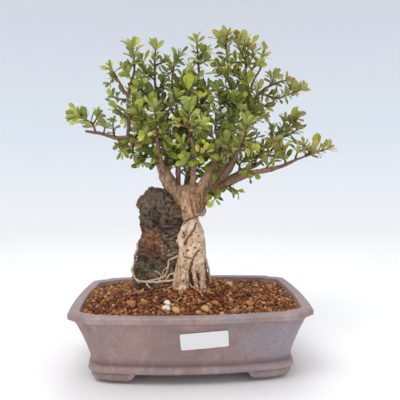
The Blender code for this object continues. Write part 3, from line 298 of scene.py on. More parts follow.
# Leafy twigs that fill the crown out between the sprays
EXTRA_TWIGS = [
    [(31, -5, 262), (27, -6, 270)], [(31, -5, 262), (32, -7, 271)],
    [(50, 3, 248), (54, 2, 256), (55, 1, 262)], [(50, 4, 243), (57, -4, 249)],
    [(49, 2, 254), (44, -3, 261), (42, -4, 266)], [(9, 14, 256), (13, 10, 263)],
    [(50, 4, 232), (44, -4, 241)], [(34, -2, 236), (29, -9, 241)], [(50, 4, 236), (40, 6, 243)],
    [(-28, 10, 240), (-35, 6, 245), (-37, 4, 248)], [(-28, 11, 232), (-21, 4, 234)],
    [(-12, 8, 234), (-5, 2, 241)], [(-45, -7, 236), (-48, -12, 240)],
    [(-80, -11, 201), (-86, -12, 205), (-89, -12, 206)], [(-70, -9, 192), (-68, -12, 198)],
    [(-29, -3, 175), (-35, -9, 173)], [(-51, -7, 188), (-50, -13, 184)],
    [(75, 10, 184), (80, 9, 195), (83, 8, 203)], [(83, 8, 198), (89, 6, 204), (91, 5, 206)],
    [(81, 8, 190), (90, 7, 194), (93, 6, 196)], [(69, 1, 232), (73, 4, 240)],
    [(80, -5, 224), (86, -7, 229)], [(26, -13, 212), (33, -18, 216), (38, -20, 214)],
    [(43, 10, 161), (44, 2, 168), (47, -2, 172)], [(56, 12, 165), (54, 4, 171)],
    [(62, -15, 162), (66, -19, 168), (70, -20, 172)], [(68, 12, 174), (74, 4, 175)],
    [(86, -18, 170), (88, -21, 176), (92, -21, 178)], [(94, -18, 173), (99, -21, 177)],
    [(51, 6, 213), (60, 2, 217), (64, 0, 216)],
]

# Big leaves that stand alone: foot, direction, the way the face looks, length, width, tone (painted
# light and shade, as on the other leaves)
SINGLE_LEAVES = [
    ((0, -19, 226), (0.02, -0.1, 1), (0.15, -1, 0.35), 13.6, 1.45, 0.62),
    ((-62, -7, 245), (-1, -0.2, 0.25), (0, -0.8, 0.7), 10.0, 1.0, 0.62),
    ((-58, -7, 235), (-0.5, -0.3, 0.8), (0.2, -1, 0.3), 10.5, 1.0, 0.5),
    ((-53, -7, 225), (-0.3, -0.3, 0.9), (-0.3, -1, 0.2), 9.5, 1.0, 0.4),
    ((12, -9, 241), (1, -0.3, 0.1), (0, -0.7, 0.9), 11.0, 0.9, 0.5),
    ((22, -8, 242), (1, -0.2, -0.1), (0.1, -0.8, 0.8), 10.0, 1.0, 0.45),
    ((30, -6, 272), (-0.9, -0.2, 0.5), (0.4, -0.9, 0.5), 11.0, 0.9, 0.6),
    ((52, -6, 266), (0.6, -0.2, 0.7), (-0.4, -1, 0.3), 10.0, 1.0, 0.55),
    ((-26, -6, 261), (0.6, -0.2, 0.8), (-0.5, -0.9, 0.3), 10.5, 0.95, 0.6),
    ((-36, -6, 252), (0.4, -0.2, 0.9), (-0.6, -0.9, 0.2), 10.5, 0.85, 0.5),
    ((85, -6, 206), (0.5, -0.2, 0.8), (-0.5, -0.9, 0.3), 10.5, 1.0, 0.55),
    ((-92, -6, 212), (-0.6, -0.2, 0.7), (0.6, -0.9, 0.4), 8.5, 1.1, 0.6),
    ((-44, -7, 262), (1, -0.1, 0.4), (-0.2, -0.8, 0.8), 9.0, 0.9, 0.6),
    ((103, -19, 178), (0.1, 0, 1), (-0.5, -1, 0.1), 14.0, 1.1, 0.55),
    ((20, -17, 151), (0.1, -0.1, 1), (-0.3, -1, 0.2), 9.6, 1.25, 0.35),
    ((24, -14, 150), (-0.1, -0.2, -1), (0.4, -1, 0.3), 11.5, 1.1, 0.42),
    ((29, -14, 148), (1, -0.3, -0.45), (-0.2, -0.7, 1), 12.0, 0.85, 0.42),
]

# Thorns that stand out past the leaves: the point of each, on the spray that bears it
OUTER_THORNS = {
    "far_left_spray": (-101.8, -12.0, 201.1),
    "upright_left_tip_spray": (-74.3, -12.0, 247.2),
    "upright_tip_spray": (-54.5, -6.0, 273.0),
    "fork_tip_spray": (-34.9, 6.0, 273.0),
    "crown_right_spray": (71.9, 5.0, 256.5),
    "high_right_spray": (101.0, -9.0, 229.6),
    "low_right_tip_spray": (124.1, -19.0, 175.6),
}

BUNCH_STALK = 4.6  # length of the stalk that carries a bunch of flowers
# Flower bunches: the spray that bears it, a point near the twig and the way it hangs
FLOWERS = {
    "left_flowers": ("middle_left_mid_spray", (-6, -3, 201), (0.0, -0.9, 0.3)),
    "middle_flowers": ("fork_low_spray", (13, -25, 178), (-0.5, -0.7, 0.45)),
    "upper_flowers": ("middle_mid_spray", (13, -3, 222), (-0.1, -0.8, 0.5)),
}


# Working tools

def deselect():
    if bpy.context.object and bpy.context.object.mode != "OBJECT":
        bpy.ops.object.mode_set(mode="OBJECT")
    bpy.ops.object.select_all(action="DESELECT")


def pick(obj):
    """Makes one piece the only one selected."""
    deselect()
    obj.select_set(True)
    bpy.context.view_layer.objects.active = obj
    return obj


def added(name):
    """Names the primitive that has just been added."""
    obj = bpy.context.object
    obj.name = name
    obj.data.name = name
    return obj


def edit(obj, mode="VERT"):
    pick(obj)
    bpy.ops.object.mode_set(mode="EDIT")
    bpy.ops.mesh.select_mode(type=mode)


def done():
    bpy.ops.object.mode_set(mode="OBJECT")


def apply_modifiers(obj):
    pick(obj)
    for modifier in list(obj.modifiers):
        bpy.ops.object.modifier_apply(modifier=modifier.name)
    return obj


def numbers(items, key, width=1, kind=float):
    """What each point, edge, face or corner of a mesh holds under a key."""
    flat = np.zeros(len(items) * width, kind)
    items.foreach_get(key, flat)
    return flat if width == 1 else flat.reshape(-1, width)


def points_of(obj):
    return numbers(obj.data.vertices, "co", 3)


def set_points(obj, co):
    obj.data.vertices.foreach_set("co", np.asarray(co, float).ravel())
    obj.data.update()
    return obj


def normals_of(obj):
    return numbers(obj.data.vertex_normals, "vector", 3)


def drawn_sheet(name, rows, wrap=True, closed=True):
    """A grid laid over rows of points, joined round into a tube and closed at its ends."""
    rows = np.asarray(rows, float)
    if wrap:
        rows = np.concatenate([rows, rows[:, :1]], axis=1)
    bpy.ops.mesh.primitive_grid_add(x_subdivisions=rows.shape[1] - 1,
                                    y_subdivisions=rows.shape[0] - 1, size=1.0)
    obj = set_points(added(name), rows.reshape(-1, 3))
    edit(obj)
    bpy.ops.mesh.select_all(action="SELECT")
    bpy.ops.mesh.remove_doubles(threshold=1e-4)
    if closed:
        bpy.ops.mesh.select_all(action="SELECT")
        bpy.ops.mesh.fill_holes(sides=0)
        bpy.ops.mesh.select_all(action="SELECT")
        bpy.ops.mesh.normals_make_consistent(inside=False)
    done()
    return obj


def turn_out(obj, inside=False):
    """Turns every face outward, or inward."""
    edit(obj)
    bpy.ops.mesh.select_all(action="SELECT")
    bpy.ops.mesh.normals_make_consistent(inside=inside)
    done()
    return obj


def thickened(obj, thickness):
    """Gives a sheet its thickness, half of it to each side."""
    sheet = obj.modifiers.new("sheet", "SOLIDIFY")
    sheet.thickness, sheet.offset = thickness, 0.0
    return apply_modifiers(obj)


def lump(name, subdivisions, radius, scale):
    """A ball pressed or drawn out along each axis."""
    bpy.ops.mesh.primitive_ico_sphere_add(subdivisions=subdivisions, radius=radius)
    ball = added(name)
    edit(ball)
    bpy.ops.mesh.select_all(action="SELECT")
    bpy.ops.transform.resize(value=scale)
    done()
    return ball


def cut_with(obj, others, operation="DIFFERENCE", solver="EXACT"):
    """Cuts the others out of obj, or joins them to it, and removes them."""
    for other in others:
        boolean = obj.modifiers.new("cut", "BOOLEAN")
        boolean.operation, boolean.object, boolean.solver = operation, other, solver
        apply_modifiers(obj)
        bpy.data.objects.remove(other)
    return obj


def joined(name, parts):
    deselect()
    for part in parts:
        part.select_set(True)
    bpy.context.view_layer.objects.active = parts[0]
    bpy.ops.object.join()
    return added(name)


def remeshed(obj, size):
    remesh = obj.modifiers.new("skin", "REMESH")
    remesh.mode, remesh.voxel_size, remesh.adaptivity = "VOXEL", size, 0.0
    return apply_modifiers(obj)


def smoothed(obj, factor, repeat):
    smooth = obj.modifiers.new("soften", "SMOOTH")
    smooth.factor, smooth.iterations = factor, repeat
    return apply_modifiers(obj)


def settle(obj, angle=None):
    """Shades a finished mesh and sets it in its place in the frame, in metres."""
    obj.data.transform(Matrix.Translation(ORIGIN) @ Matrix.Scale(MM, 4))
    pick(obj)
    if angle is None:
        bpy.ops.object.shade_smooth()
    else:
        bpy.ops.object.shade_smooth_by_angle(angle=math.radians(angle))
    return obj


def finished(obj, materials, nodes=()):
    """Gives a settled piece its finish, its body and the CAD nodes that it stands for."""
    for material in materials:
        obj.data.materials.append(material)
    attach(obj, "root")
    if nodes:
        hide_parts(*nodes)
    return obj


def curve_through(points, steps):
    """A smooth line through points, which may also carry other numbers than x, y and z."""
    given = np.asarray(points, float)
    ends = np.concatenate([[2 * given[0] - given[1]], given, [2 * given[-1] - given[-2]]])
    line = []
    for i in range(len(given) - 1):
        a, b, c, d = ends[i:i + 4]
        for t in np.linspace(0, 1, steps, endpoint=False):
            line.append(0.5 * (2 * b + (c - a) * t + (2 * a - 5 * b + 4 * c - d) * t ** 2
                               + (3 * b - a - 3 * c + d) * t ** 3))
    line.append(given[-1])
    return np.array(line)


def tapered(route, steps, first, last):
    """A smooth line with radii that go evenly from the first to the last."""
    line = curve_through(route, steps)
    return line, np.linspace(first, last, len(line))


def way_along(line):
    """How far each point of a line is from its start."""
    return np.concatenate([[0], np.cumsum(np.linalg.norm(np.diff(line, axis=0), axis=1))])


def tube_rows(line, radii, sides, first_side=None):
    """Rings of points square to a line, with a radius for each of its points."""
    points = [Vector(point) for point in line]
    steps = [(b - a).normalized() for a, b in zip(points, points[1:])]
    side = first_side or steps[0].orthogonal().normalized()
    rows = []
    for i, point in enumerate(points):
        along = (steps[max(i - 1, 0)] + steps[min(i, len(steps) - 1)]).normalized()
        side = (side - along * side.dot(along)).normalized()
        other = along.cross(side)
        rows.append([point + (side * math.cos(t) + other * math.sin(t)) * radii[i]
                     for t in [math.tau * j / sides for j in range(sides)]])
    return np.array(rows)


def store(obj, name, values, kind="FLOAT"):
    """Keeps a number or a colour for each point, for the materials to read."""
    layer = obj.data.attributes.new(name, kind, "POINT")
    layer.data.foreach_set("value" if kind == "FLOAT" else "color",
                           np.asarray(values, np.float32).ravel())
    return obj


def relief_of(obj, gain, passes=2):
    """How far each point stands out of its surroundings: 1 on an edge, 0 in a hollow."""
    co, no = points_of(obj), normals_of(obj)
    a, b = numbers(obj.data.edges, "vertices", 2, np.int32).T
    step = co[b] - co[a]
    length = np.maximum(np.linalg.norm(step, axis=1), 1e-9)
    count = np.maximum(np.bincount(a, minlength=len(co)) + np.bincount(b, minlength=len(co)), 1)
    fall = (np.bincount(a, -(no[a] * step).sum(1) / length, len(co))
            + np.bincount(b, (no[b] * step).sum(1) / length, len(co))) / count
    for _ in range(passes):
        fall = (np.bincount(a, fall[b], len(co)) + np.bincount(b, fall[a], len(co))) / count
    return np.clip(0.5 + fall * gain, 0, 1)


def held(value, low=0, high=1):
    return min(max(value, low), high)


def each(function, points):
    return np.array([function(Vector(point)) for point in points])


# Pot

def pot_depth(width):
    return RIM_DEPTH - DEPTH_RATE * (RIM_WIDTH - width)


def outline(width, depth, soft=0.35):
    """The bowed rectangle with cut corners, each with a small ogee step at its ends.

    A higher soft turns the ogee steps into one rounded chamfer."""
    half_x, half_y = width / 2, depth / 2
    corner, step = CORNER * width / RIM_WIDTH, CORNER_STEP * width / RIM_WIDTH
    front = [((half_x - corner) * s, half_y - FRONT_BOW * s ** 2)
             for s in np.linspace(0, 1, 9)[:-1]]
    first, last = (half_x - corner, half_y - FRONT_BOW), (half_x - SIDE_BOW, half_y - corner)
    stepped = np.array([
        first, (first[0] + 0.45 * step, first[1] - 0.5 * step),
        (first[0] + 0.9 * step, first[1] - 1.1 * step),
        (last[0] - 1.1 * step, last[1] + 0.9 * step),
        (last[0] - 0.5 * step, last[1] + 0.45 * step), last])
    shares = np.array([0, 0.16, 0.32, 0.68, 0.84, 1.0])[:, None]
    rounded = np.array(first) + (np.array(last) - first) * shares \
        + 0.13 * corner * np.sin(math.pi * shares)
    turn = curve_through(stepped + (rounded - stepped) * soft, 4)
    side = [(half_x - SIDE_BOW * s ** 2, (half_y - corner) * s)
            for s in np.linspace(1, 0, 6)[1:]]
    quarter = front + [tuple(spot) for spot in turn] + side
    right = quarter + [(x, -y) for x, y in reversed(quarter[:-1])]
    left = [(-x, y) for x, y in reversed(right[1:-1])]
    return np.array(right + left)


def at_height(plan, height):
    return np.column_stack([plan, np.full(len(plan), height)])


def body_width(height):
    share = max(height - BODY_LOW, 0.0) / (BODY_HIGH - BODY_LOW)
    return BODY_FOOT_WIDTH + BODY_FLARE * share ** 1.3


def softness(height):
    """The corners go from rounded on the body to stepped at the lip."""
    return float(np.interp(height, SOFT_FADE, (SOFT_BODY, SOFT_LIP)))


def wall_front(x, height):
    """Where the front wall stands, in y."""
    width = body_width(height)
    share = x / (width / 2 - CORNER * width / RIM_WIDTH)
    return FRONT_BOW * share ** 2 - pot_depth(width) / 2


def inner_plan(height, inset=0.0):
    """The outline of the pot's inside, drawn in by an inset."""
    share = (min(height, RIM_HEIGHT) - FLOOR_TOP) / (RIM_HEIGHT - FLOOR_TOP)
    width = FLOOR_WIDTH + (RIM_WIDTH - 2 * RIM_FLAT - FLOOR_WIDTH) * share
    depth = pot_depth(width) + 2 * RIM_FLAT * (DEPTH_RATE - 1)
    return outline(width - 2 * inset, depth - 2 * inset)


def arch_cutter(half_width, half_length, along_y):
    """The opening between two feet: flat above, with an ogee down each foot."""
    edge = curve_through([(half_width + out, height) for out, height in ARCH_CURVE], 4)
    profile = list(edge) + [(-x, z) for x, z in reversed(edge)]
    ends = []
    for y in (-half_length, half_length):
        ends.append([(x, y, z) if along_y else (y, x, z) for x, z in profile])
    return drawn_sheet("arch", ends)


def pot_feet():
    """A skirt with an opening in each side, which leaves four cloud feet."""
    rings = [at_height(outline(width, pot_depth(width), SOFT_BODY), z)
             for z, width in curve_through(FOOT_RINGS, 4)]
    for height in (FOOT_RINGS[-1][0], 5.0, FOOT_RINGS[0][0]):
        rings.append(at_height(outline(FOOT_INNER_WIDTH, pot_depth(FOOT_INNER_WIDTH)), height))
    feet = turn_out(drawn_sheet("feet", rings + [rings[0]], closed=False))
    return cut_with(feet, [arch_cutter(FRONT_ARCH, RIM_DEPTH, True),
                           arch_cutter(SIDE_ARCH, RIM_WIDTH, False)])


def drain_cutter(x):
    bpy.ops.mesh.primitive_cylinder_add(vertices=40, radius=DRAIN_DIAMETER / 2,
                                        depth=FLOOR_TOP, location=(x, 0, FLOOR_TOP / 2 + 5))
    return added("drain")


def make_pot():
    foot = BAND_RINGS + [(BODY_LOW - 0.3, BODY_FOOT_WIDTH + 0.4)]
    profile = list(curve_through(foot, 3)[:-1])
    profile += [(z, body_width(z)) for z in np.linspace(BODY_LOW, BODY_HIGH, 14)[:-1]]
    profile += list(curve_through([(BODY_HIGH, body_width(BODY_HIGH))] + LIP_RINGS, 4))
    profile = [(z, min(width, RIM_WIDTH)) for z, width in profile]
    rings = [at_height(outline(width, pot_depth(width), softness(z)), z) for z, width in profile]
    for height, inset in ((RIM_HEIGHT, -1.6), (RIM_HEIGHT - 0.15, -0.7),
                          (RIM_HEIGHT - 0.7, -0.15), (RIM_HEIGHT - 1.6, 0.0)):
        rings.append(at_height(inner_plan(RIM_HEIGHT, inset), height))
    rings += [at_height(inner_plan(z), z) for z in (50, 40, 28, FLOOR_TOP)]
    pot = drawn_sheet("pot_stoneware", rings)
    cut_with(pot, [pot_feet()], "UNION")
    cut_with(pot, [drain_cutter(DRAIN_X), drain_cutter(-DRAIN_X)])
    edit(pot, "EDGE")
    bpy.ops.mesh.select_all(action="DESELECT")
    done()
    for edge in pot.data.edges:
        a, b = (pot.data.vertices[i].co for i in edge.vertices)
        edge.select = max(a.z, b.z) < 9.9 and is_arch_edge(a) and is_arch_edge(b)
    edit_selected_bevel(pot, 0.45)
    return pot


def is_arch_edge(point):
    """Whether a point lies on the curve that an opening cuts in the feet."""
    for half, across in ((FRONT_ARCH, abs(point.x)), (SIDE_ARCH, abs(point.y))):
        for (out_a, z_a), (out_b, z_b) in zip(ARCH_CURVE, ARCH_CURVE[1:]):
            if z_b - 0.05 <= point.z <= z_a + 0.05:
                share = (z_a - point.z) / (z_a - z_b)
                if abs(across - half - out_a - (out_b - out_a) * share) < 0.6:
                    return True
    return False


def edit_selected_bevel(obj, width):
    """Softens the edges that are selected, where their faces meet at a sharp angle."""
    shape = bmesh.new()
    shape.from_mesh(obj.data)
    for edge in shape.edges:
        if edge.select and not (edge.is_manifold and edge.calc_face_angle() > 0.7):
            edge.select = False
    shape.to_mesh(obj.data)
    shape.free()
    edit(obj, "EDGE")
    bpy.ops.mesh.bevel(offset=width, segments=2, affect="EDGES")
    done()


def make_label():
    """A blank paper label with rounded corners, stuck to the front wall a little askew."""
    columns, rows = 36, 14
    turn = math.radians(LABEL_TILT)
    plan = []
    for j in range(rows + 1):
        for i in range(columns + 1):
            x, z = (i / columns - 0.5) * LABEL_WIDTH, (j / rows - 0.5) * LABEL_HEIGHT
            over_x = max(abs(x) - (LABEL_WIDTH / 2 - LABEL_CORNER), 0.0)
            over_z = max(abs(z) - (LABEL_HEIGHT / 2 - LABEL_CORNER), 0.0)
            reach = math.hypot(over_x, over_z)
            if over_x and over_z and reach > LABEL_CORNER:
                x -= math.copysign(over_x * (1 - LABEL_CORNER / reach), x)
                z -= math.copysign(over_z * (1 - LABEL_CORNER / reach), z)
            plan.append((LABEL_CENTRE[0] + x * math.cos(turn) - z * math.sin(turn),
                         LABEL_CENTRE[1] + x * math.sin(turn) + z * math.cos(turn)))
    spots = [(x, wall_front(x, z) - 0.55 - 0.12 * noise.noise(Vector((x / 9, z / 7, 2))), z)
             for x, z in plan]
    label = drawn_sheet("paper_label", np.array(spots).reshape(rows + 1, columns + 1, 3),
                        wrap=False, closed=False)
    return turn_out(thickened(label, 0.22))


# Soil

def mound(x, y):
    """The height of the soil's surface, without its grains."""
    across = (x - MOUND_CENTRE[0]) / MOUND_SPREAD[0]
    deep = (y - MOUND_CENTRE[1]) / MOUND_SPREAD[1]
    return SOIL_EDGE + MOUND_HEIGHT * math.exp(-across ** 2 - deep ** 2)


def make_soil_bed():
    """The body of the soil, under the loose grains, with a rough top."""
    edge = inner_plan(RIM_HEIGHT, 0.45)
    middle = np.array([MOUND_CENTRE])
    rows = [at_height(inner_plan(FLOOR_TOP + 0.4, 0.45), FLOOR_TOP + 0.4)]
    rows.append(at_height(inner_plan(40, 0.45), 40))
    for share in np.linspace(1, 0, 46):
        plan = middle + (edge - middle) * share
        rows.append(np.array([(x, y, mound(x, y) - 1.5 + (1.2 * noise.noise(
            Vector((x / 2.6, y / 2.6, 5))) if 0 < share < 1 else 0.0)) for x, y in plan]))
    return drawn_sheet("soil_bed", rows)


def crumb_shapes(count):
    """Lumps of baked clay of a few shapes, each modelled once, about 1 across."""
    draw = random.Random(5)
    shapes = []
    for k in range(count):
        crumb = lump("crumb", 2, 0.56, (1.0, 0.80 + 0.07 * (k % 3), 0.64 + 0.08 * (k % 4)))
        co = points_of(crumb)
        for _ in range(9):
            side = Vector([draw.gauss(0, 1) for _ in range(3)]).normalized()
            over = np.maximum(co @ np.array(side) - draw.uniform(0.26, 0.42), 0)
            co = co - over[:, None] * np.array(side)
        push = each(lambda p: 0.34 * noise.noise(p * 2.6 + Vector((k * 9.0, 0, 0)))
                    + 0.24 * noise.noise(p * 6.1 + Vector((0, k * 7.0, 0))), co)
        set_points(crumb, co * (1 + push)[:, None])
        shapes.append(taken(crumb))
    return shapes


def pebble_shape():
    """A rounded pebble, modelled once, about 1 long."""
    pebble = lump("pebble", 3, 0.5, (1.0, 0.86, 0.78))
    co = points_of(pebble)
    push = each(lambda p: 0.44 * noise.noise(p * 2.6) + 0.14 * noise.noise(p * 7), co)
    set_points(pebble, co * (1 + push)[:, None])
    return taken(pebble)


def taken(obj):
    """A modelled shape as arrays, ready to be copied; its object is removed."""
    mesh = obj.data
    shape = {"co": points_of(obj), "corners": numbers(mesh.loops, "vertex_index", 1, np.int32),
             "sizes": numbers(mesh.polygons, "loop_total", 1, np.int32),
             "uv": numbers(mesh.uv_layers[0].data, "uv", 2)}
    if "under" in mesh.attributes:
        shape["under"] = numbers(mesh.attributes["under"].data, "value")
    bpy.data.objects.remove(obj)
    return shape


class Gathered:
    """Copies of modelled shapes, brought together into the mesh of one piece."""

    def __init__(self):
        self.copies, self.total = [], 0

    def add(self, shape, co, tint, finish=0):
        """Keeps one copy; the finish is the place of its material in the piece's list."""
        self.copies.append((co, shape["corners"] + self.total, shape["sizes"], shape["uv"],
                            np.broadcast_to(np.asarray(tint, float), (len(co), 4)),
                            np.full(len(shape["sizes"]), finish)))
        self.total += len(co)

    def piece(self, name):
        co, corners, sizes, uv, tint, finish = map(np.concatenate, zip(*self.copies))
        co = np.clip(co, np.array(BOX_LOW) + 0.05, np.array(BOX_HIGH) - 0.05)
        starts = np.concatenate([[0], np.cumsum(sizes)[:-1]])
        mesh = bpy.data.meshes.new(name)
        mesh.vertices.add(len(co))
        mesh.vertices.foreach_set("co", co.ravel())
        mesh.loops.add(len(corners))
        mesh.loops.foreach_set("vertex_index", corners.astype(np.int32))
        mesh.polygons.add(len(sizes))
        mesh.polygons.foreach_set("loop_start", starts.astype(np.int32))
        mesh.polygons.foreach_set("material_index", finish.astype(np.int32))
        mesh.uv_layers.new(name="UVMap")
        mesh.uv_layers[0].data.foreach_set("uv", uv.ravel())
        mesh.update(calc_edges=True)
        mesh.validate()
        obj = bpy.data.objects.new(name, mesh)
        bpy.context.scene.collection.objects.link(obj)
        return store(obj, "tint", tint, "FLOAT_COLOR")


def inside_ring(table, x, y, height, squareness, grow):
    left, right, front, back = between(table, height)
    across = abs(x - (left + right) / 2) / ((right - left) / 2 + grow)
    deep = abs(y - (front + back) / 2) / ((back - front) / 2 + grow)
    return across ** squareness + deep ** squareness < 1


GRAIN_CELL = 6  # width of the squares that the search for near grains goes by
GRAIN_SIZES = [  # least and greatest size, how many are tried, how far they keep apart
    (4.0, 5.2, 320, 0.95), (2.8, 3.9, 3600, 0.84), (1.7, 2.7, 6800, 0.76)]
PALE_CRUMBS = 60


def scatter_grains(crumbs):
    """Loose grains over the whole bed: big ones first, then smaller ones between them."""
    draw = random.Random(21)
    reach = inner_plan(RIM_HEIGHT).max(0)
    cell = {}
    for x, y, size, _, _ in STONES:
        square = int(x // GRAIN_CELL), int(y // GRAIN_CELL)
        cell.setdefault(square, []).append((x, y, size * 0.8))
    placed = []
    for size_low, size_high, tries, apart in GRAIN_SIZES:
        for _ in range(tries):
            size = draw.uniform(size_low, size_high)
            x, y = draw.uniform(-reach[0], reach[0]), draw.uniform(-reach[1], reach[1])
            if not in_plan(reach, x, y, size * 0.5 + 0.5):
                continue
            height = mound(x, y)
            if inside_ring(ROCK, x, y, height, ROCK_SQUARENESS, -0.6) \
                    or inside_ring(TRUNK, x, y, height, TRUNK_SQUARENESS, -0.6):
                continue
            i, j = int(x // GRAIN_CELL), int(y // GRAIN_CELL)
            near = [spot for a in (-1, 0, 1) for b in (-1, 0, 1)
                    for spot in cell.get((i + a, j + b), ())]
            if any(math.hypot(x - u, y - v) < apart * (size + s) / 2 for u, v, s in near):
                continue
            cell.setdefault((i, j), []).append((x, y, size))
            placed.append((x, y, height, size))
    front, back = Gathered(), Gathered()
    for x, y, height, size in placed:
        crumb = crumbs[draw.randrange(len(crumbs))]
        turn = Matrix.Rotation(draw.uniform(0, math.tau), 3, "Z") @ Matrix.Rotation(
            draw.uniform(-0.5, 0.5), 3, "X") @ Matrix.Rotation(draw.uniform(-0.4, 0.4), 3, "Y")
        sink = size * draw.uniform(-0.02, 0.22) - 0.7
        co = crumb["co"] @ np.array(turn).T * size + (x, y, height - sink - 0.6)
        pile = front if y < MOUND_CENTRE[1] else back
        pile.add(crumb, co, (draw.random(), draw.random(), draw.random(), 1))
    for _ in range(PALE_CRUMBS):  # pale crumbs and chips of bark in front of the trunk
        x, y, size = draw.gauss(-3, 8), draw.uniform(-48, -25), draw.uniform(1.0, 2.0)
        turn = Matrix.Rotation(draw.uniform(0, math.tau), 3, "Z")
        co = crumbs[draw.randrange(len(crumbs))]["co"] * (size * draw.uniform(0.9, 2.2), size, size)
        front.add(crumbs[0], co @ np.array(turn).T + (x, y, mound(x, y) + 0.9),
                  (draw.uniform(0.7, 1.0), 0.5, 0.5, 1))
    pebble = pebble_shape()
    for x, y, size, tone, white in STONES:
        turn = Matrix.Rotation(draw.uniform(-0.7, 0.7), 3, "Z") @ Matrix.Rotation(
            draw.uniform(-0.3, 0.3), 3, "X")
        co = pebble["co"] @ np.array(turn).T * size + (x, y, mound(x, y) + 0.22 * size)
        front.add(pebble, co, (tone, float(tone >= 0.9), 0.5, 1), int(white))
    return [front.piece("soil_grains_front"), back.piece("soil_grains_back")]


def in_plan(reach, x, y, margin):
    """Whether a spot lies inside the pot's rim, given its half width and half depth."""
    if abs(x) > reach[0] - margin or abs(y) > reach[1] - margin:
        return False
    cut = reach[0] + reach[1] - CORNER - FRONT_BOW - 1.4 * margin
    bow = FRONT_BOW * (abs(x) / (reach[0] - CORNER)) ** 2
    return abs(y) < reach[1] - bow - margin and abs(x) + abs(y) < cut


# Rock

def between(rows, height):
    """The row of edges at a height, between the rows of a table that give it."""
    if height <= rows[0][0]:
        return rows[0][1:]
    for low, high in zip(rows, rows[1:]):
        if height <= high[0]:
            share = (height - low[0]) / (high[0] - low[0])
            return [a + (b - a) * share for a, b in zip(low[1:], high[1:])]
    return rows[-1][1:]


def side_point(rows, degrees, height, squareness, roughness, grow=0.0):
    """A point on the side of the rock or the trunk, at an angle round it and a height."""
    left, right, front, back = between(rows, height)
    cos, sin = math.cos(math.radians(degrees)), math.sin(math.radians(degrees))
    x = math.copysign(abs(cos) ** (2 / squareness), cos)
    y = math.copysign(abs(sin) ** (2 / squareness), sin)
    out = grow + roughness * noise.noise(Vector((cos * 1.3, sin * 1.3, height / 11.0)))
    return Vector(((left + right) / 2 + x * ((right - left) / 2 + out),
                   (front + back) / 2 + y * ((back - front) / 2 + out), height))


def side_sheet(name, table, heights, sides, squareness, roughness):
    turns = [360 * i / sides for i in range(sides)]
    return drawn_sheet(name, [[side_point(table, turn, z, squareness, roughness)
                               for turn in turns] for z in heights])


def pit(point, cell, width):
    """1 in the middle of a round pit, and 0 outside all pits."""
    near, spots = noise.voronoi(point / cell)
    keep = noise.cell(spots[0] * 7.3)
    return max(0.0, 1 - near[0] / width) * (keep > 0.38)


def rock_relief(point):
    """How far the lava stands out at a point: lumps, ledges, crevices and gas holes."""
    x, y, z = point
    lumps = noise.fractal(point / 13.0, 1.0, 2.0, 2)
    step = (z + 0.34 * x - 0.15 * y) / 10.5 + 0.8 * noise.noise(point / 17.0)
    rise = step - math.floor(step)
    ledge = rise / 0.82 if rise < 0.82 else (1 - rise) / 0.18
    spread = 0.3 + 0.7 * held(0.5 + 1.8 * noise.noise(point / 11.0 + Vector((7, 0, 0))))
    bent = noise.noise_vector(point / 5.0) * 0.12
    near, _ = noise.voronoi(Vector((x, y, z * 1.35)) / 14.0 + bent)
    crevice = max(0.0, 1 - (near[1] - near[0]) / 0.09)
    flat = Vector((x, y, z * 1.7))
    rough = noise.fractal(flat / 4.0, 0.8, 2.0, 3)
    grain = noise.noise(flat / 1.5) + 0.7 * noise.noise(point / 0.8)
    return (2.5 * lumps + 2.3 * spread * (ledge - 0.5) + 1.15 * rough + 0.55 * grain
            - 1.9 * crevice - 1.4 * pit(point, 4.4, 0.55) ** 0.7 - 0.9 * pit(point, 2.3, 0.55))


def make_rock():
    heights = list(np.linspace(46, ROCK[-1][0], 60))
    rock = side_sheet("lava_rock", ROCK, heights, 72, ROCK_SQUARENESS, ROCK_ROUGHNESS)
    remeshed(rock, 0.74)
    smoothed(rock, 0.5, 4)
    co, no = points_of(rock), normals_of(rock)
    push = each(rock_relief, co) - 0.1
    push[co[:, 2] < 50] = 0
    set_points(rock, co + no * push[:, None])
    store(rock, "relief", relief_of(rock, 1.7, 2))
    return rock


# Wood

def wood_lines():
    """Every branch and root as a smooth line: its name, points and radii."""
    lines = []
    for name, (route, first, last) in BRANCHES.items():
        lines.append([name, *tapered(route, 7, first, last)])
    for i, (route, first, last) in enumerate(ROOTS):
        lines.append(["root_" + str(i), *tapered(route, 7, first, last)])
    for i, (path, first, last) in enumerate(ROCK_ROOTS):
        route = [side_point(ROCK, turn, z, ROCK_SQUARENESS, ROCK_ROUGHNESS, 0.9)
                 for turn, z in path]
        lines.append(["rock_root_" + str(i), *tapered(route, 6, first, last)])
    return lines


def knotty(line, radii, seed):
    """Radii with the small swellings of old leaf joints, and a line that wanders a little."""
    length = way_along(line)
    joint = 5.5 + 1.5 * math.sin(seed * 2.1)
    swell = 1 + 0.10 * np.cos(2 * math.pi * length / joint) ** 6 + 0.05 * np.sin(length / 3 + seed)
    wander = np.array([noise.noise_vector(Vector((s / 7.0, seed * 5.0, 0))) for s in length])
    fade = np.minimum(length / 6, 1)[:, None] * np.minimum((length[-1] - length) / 6, 1)[:, None]
    return line + wander * fade * 0.45, radii * swell


def rounded_tube(name, line, radii, sides):
    """A closed tube with a domed end."""
    tip = (line[-1] - line[-2]) / np.linalg.norm(line[-1] - line[-2])
    line = np.concatenate([line, [line[-1] + tip * radii[-1] * 0.45,
                                  line[-1] + tip * radii[-1] * 0.62]])
    radii = np.concatenate([radii, [radii[-1] * 0.72, radii[-1] * 0.3]])
    return drawn_sheet(name, tube_rows(line, radii, sides))


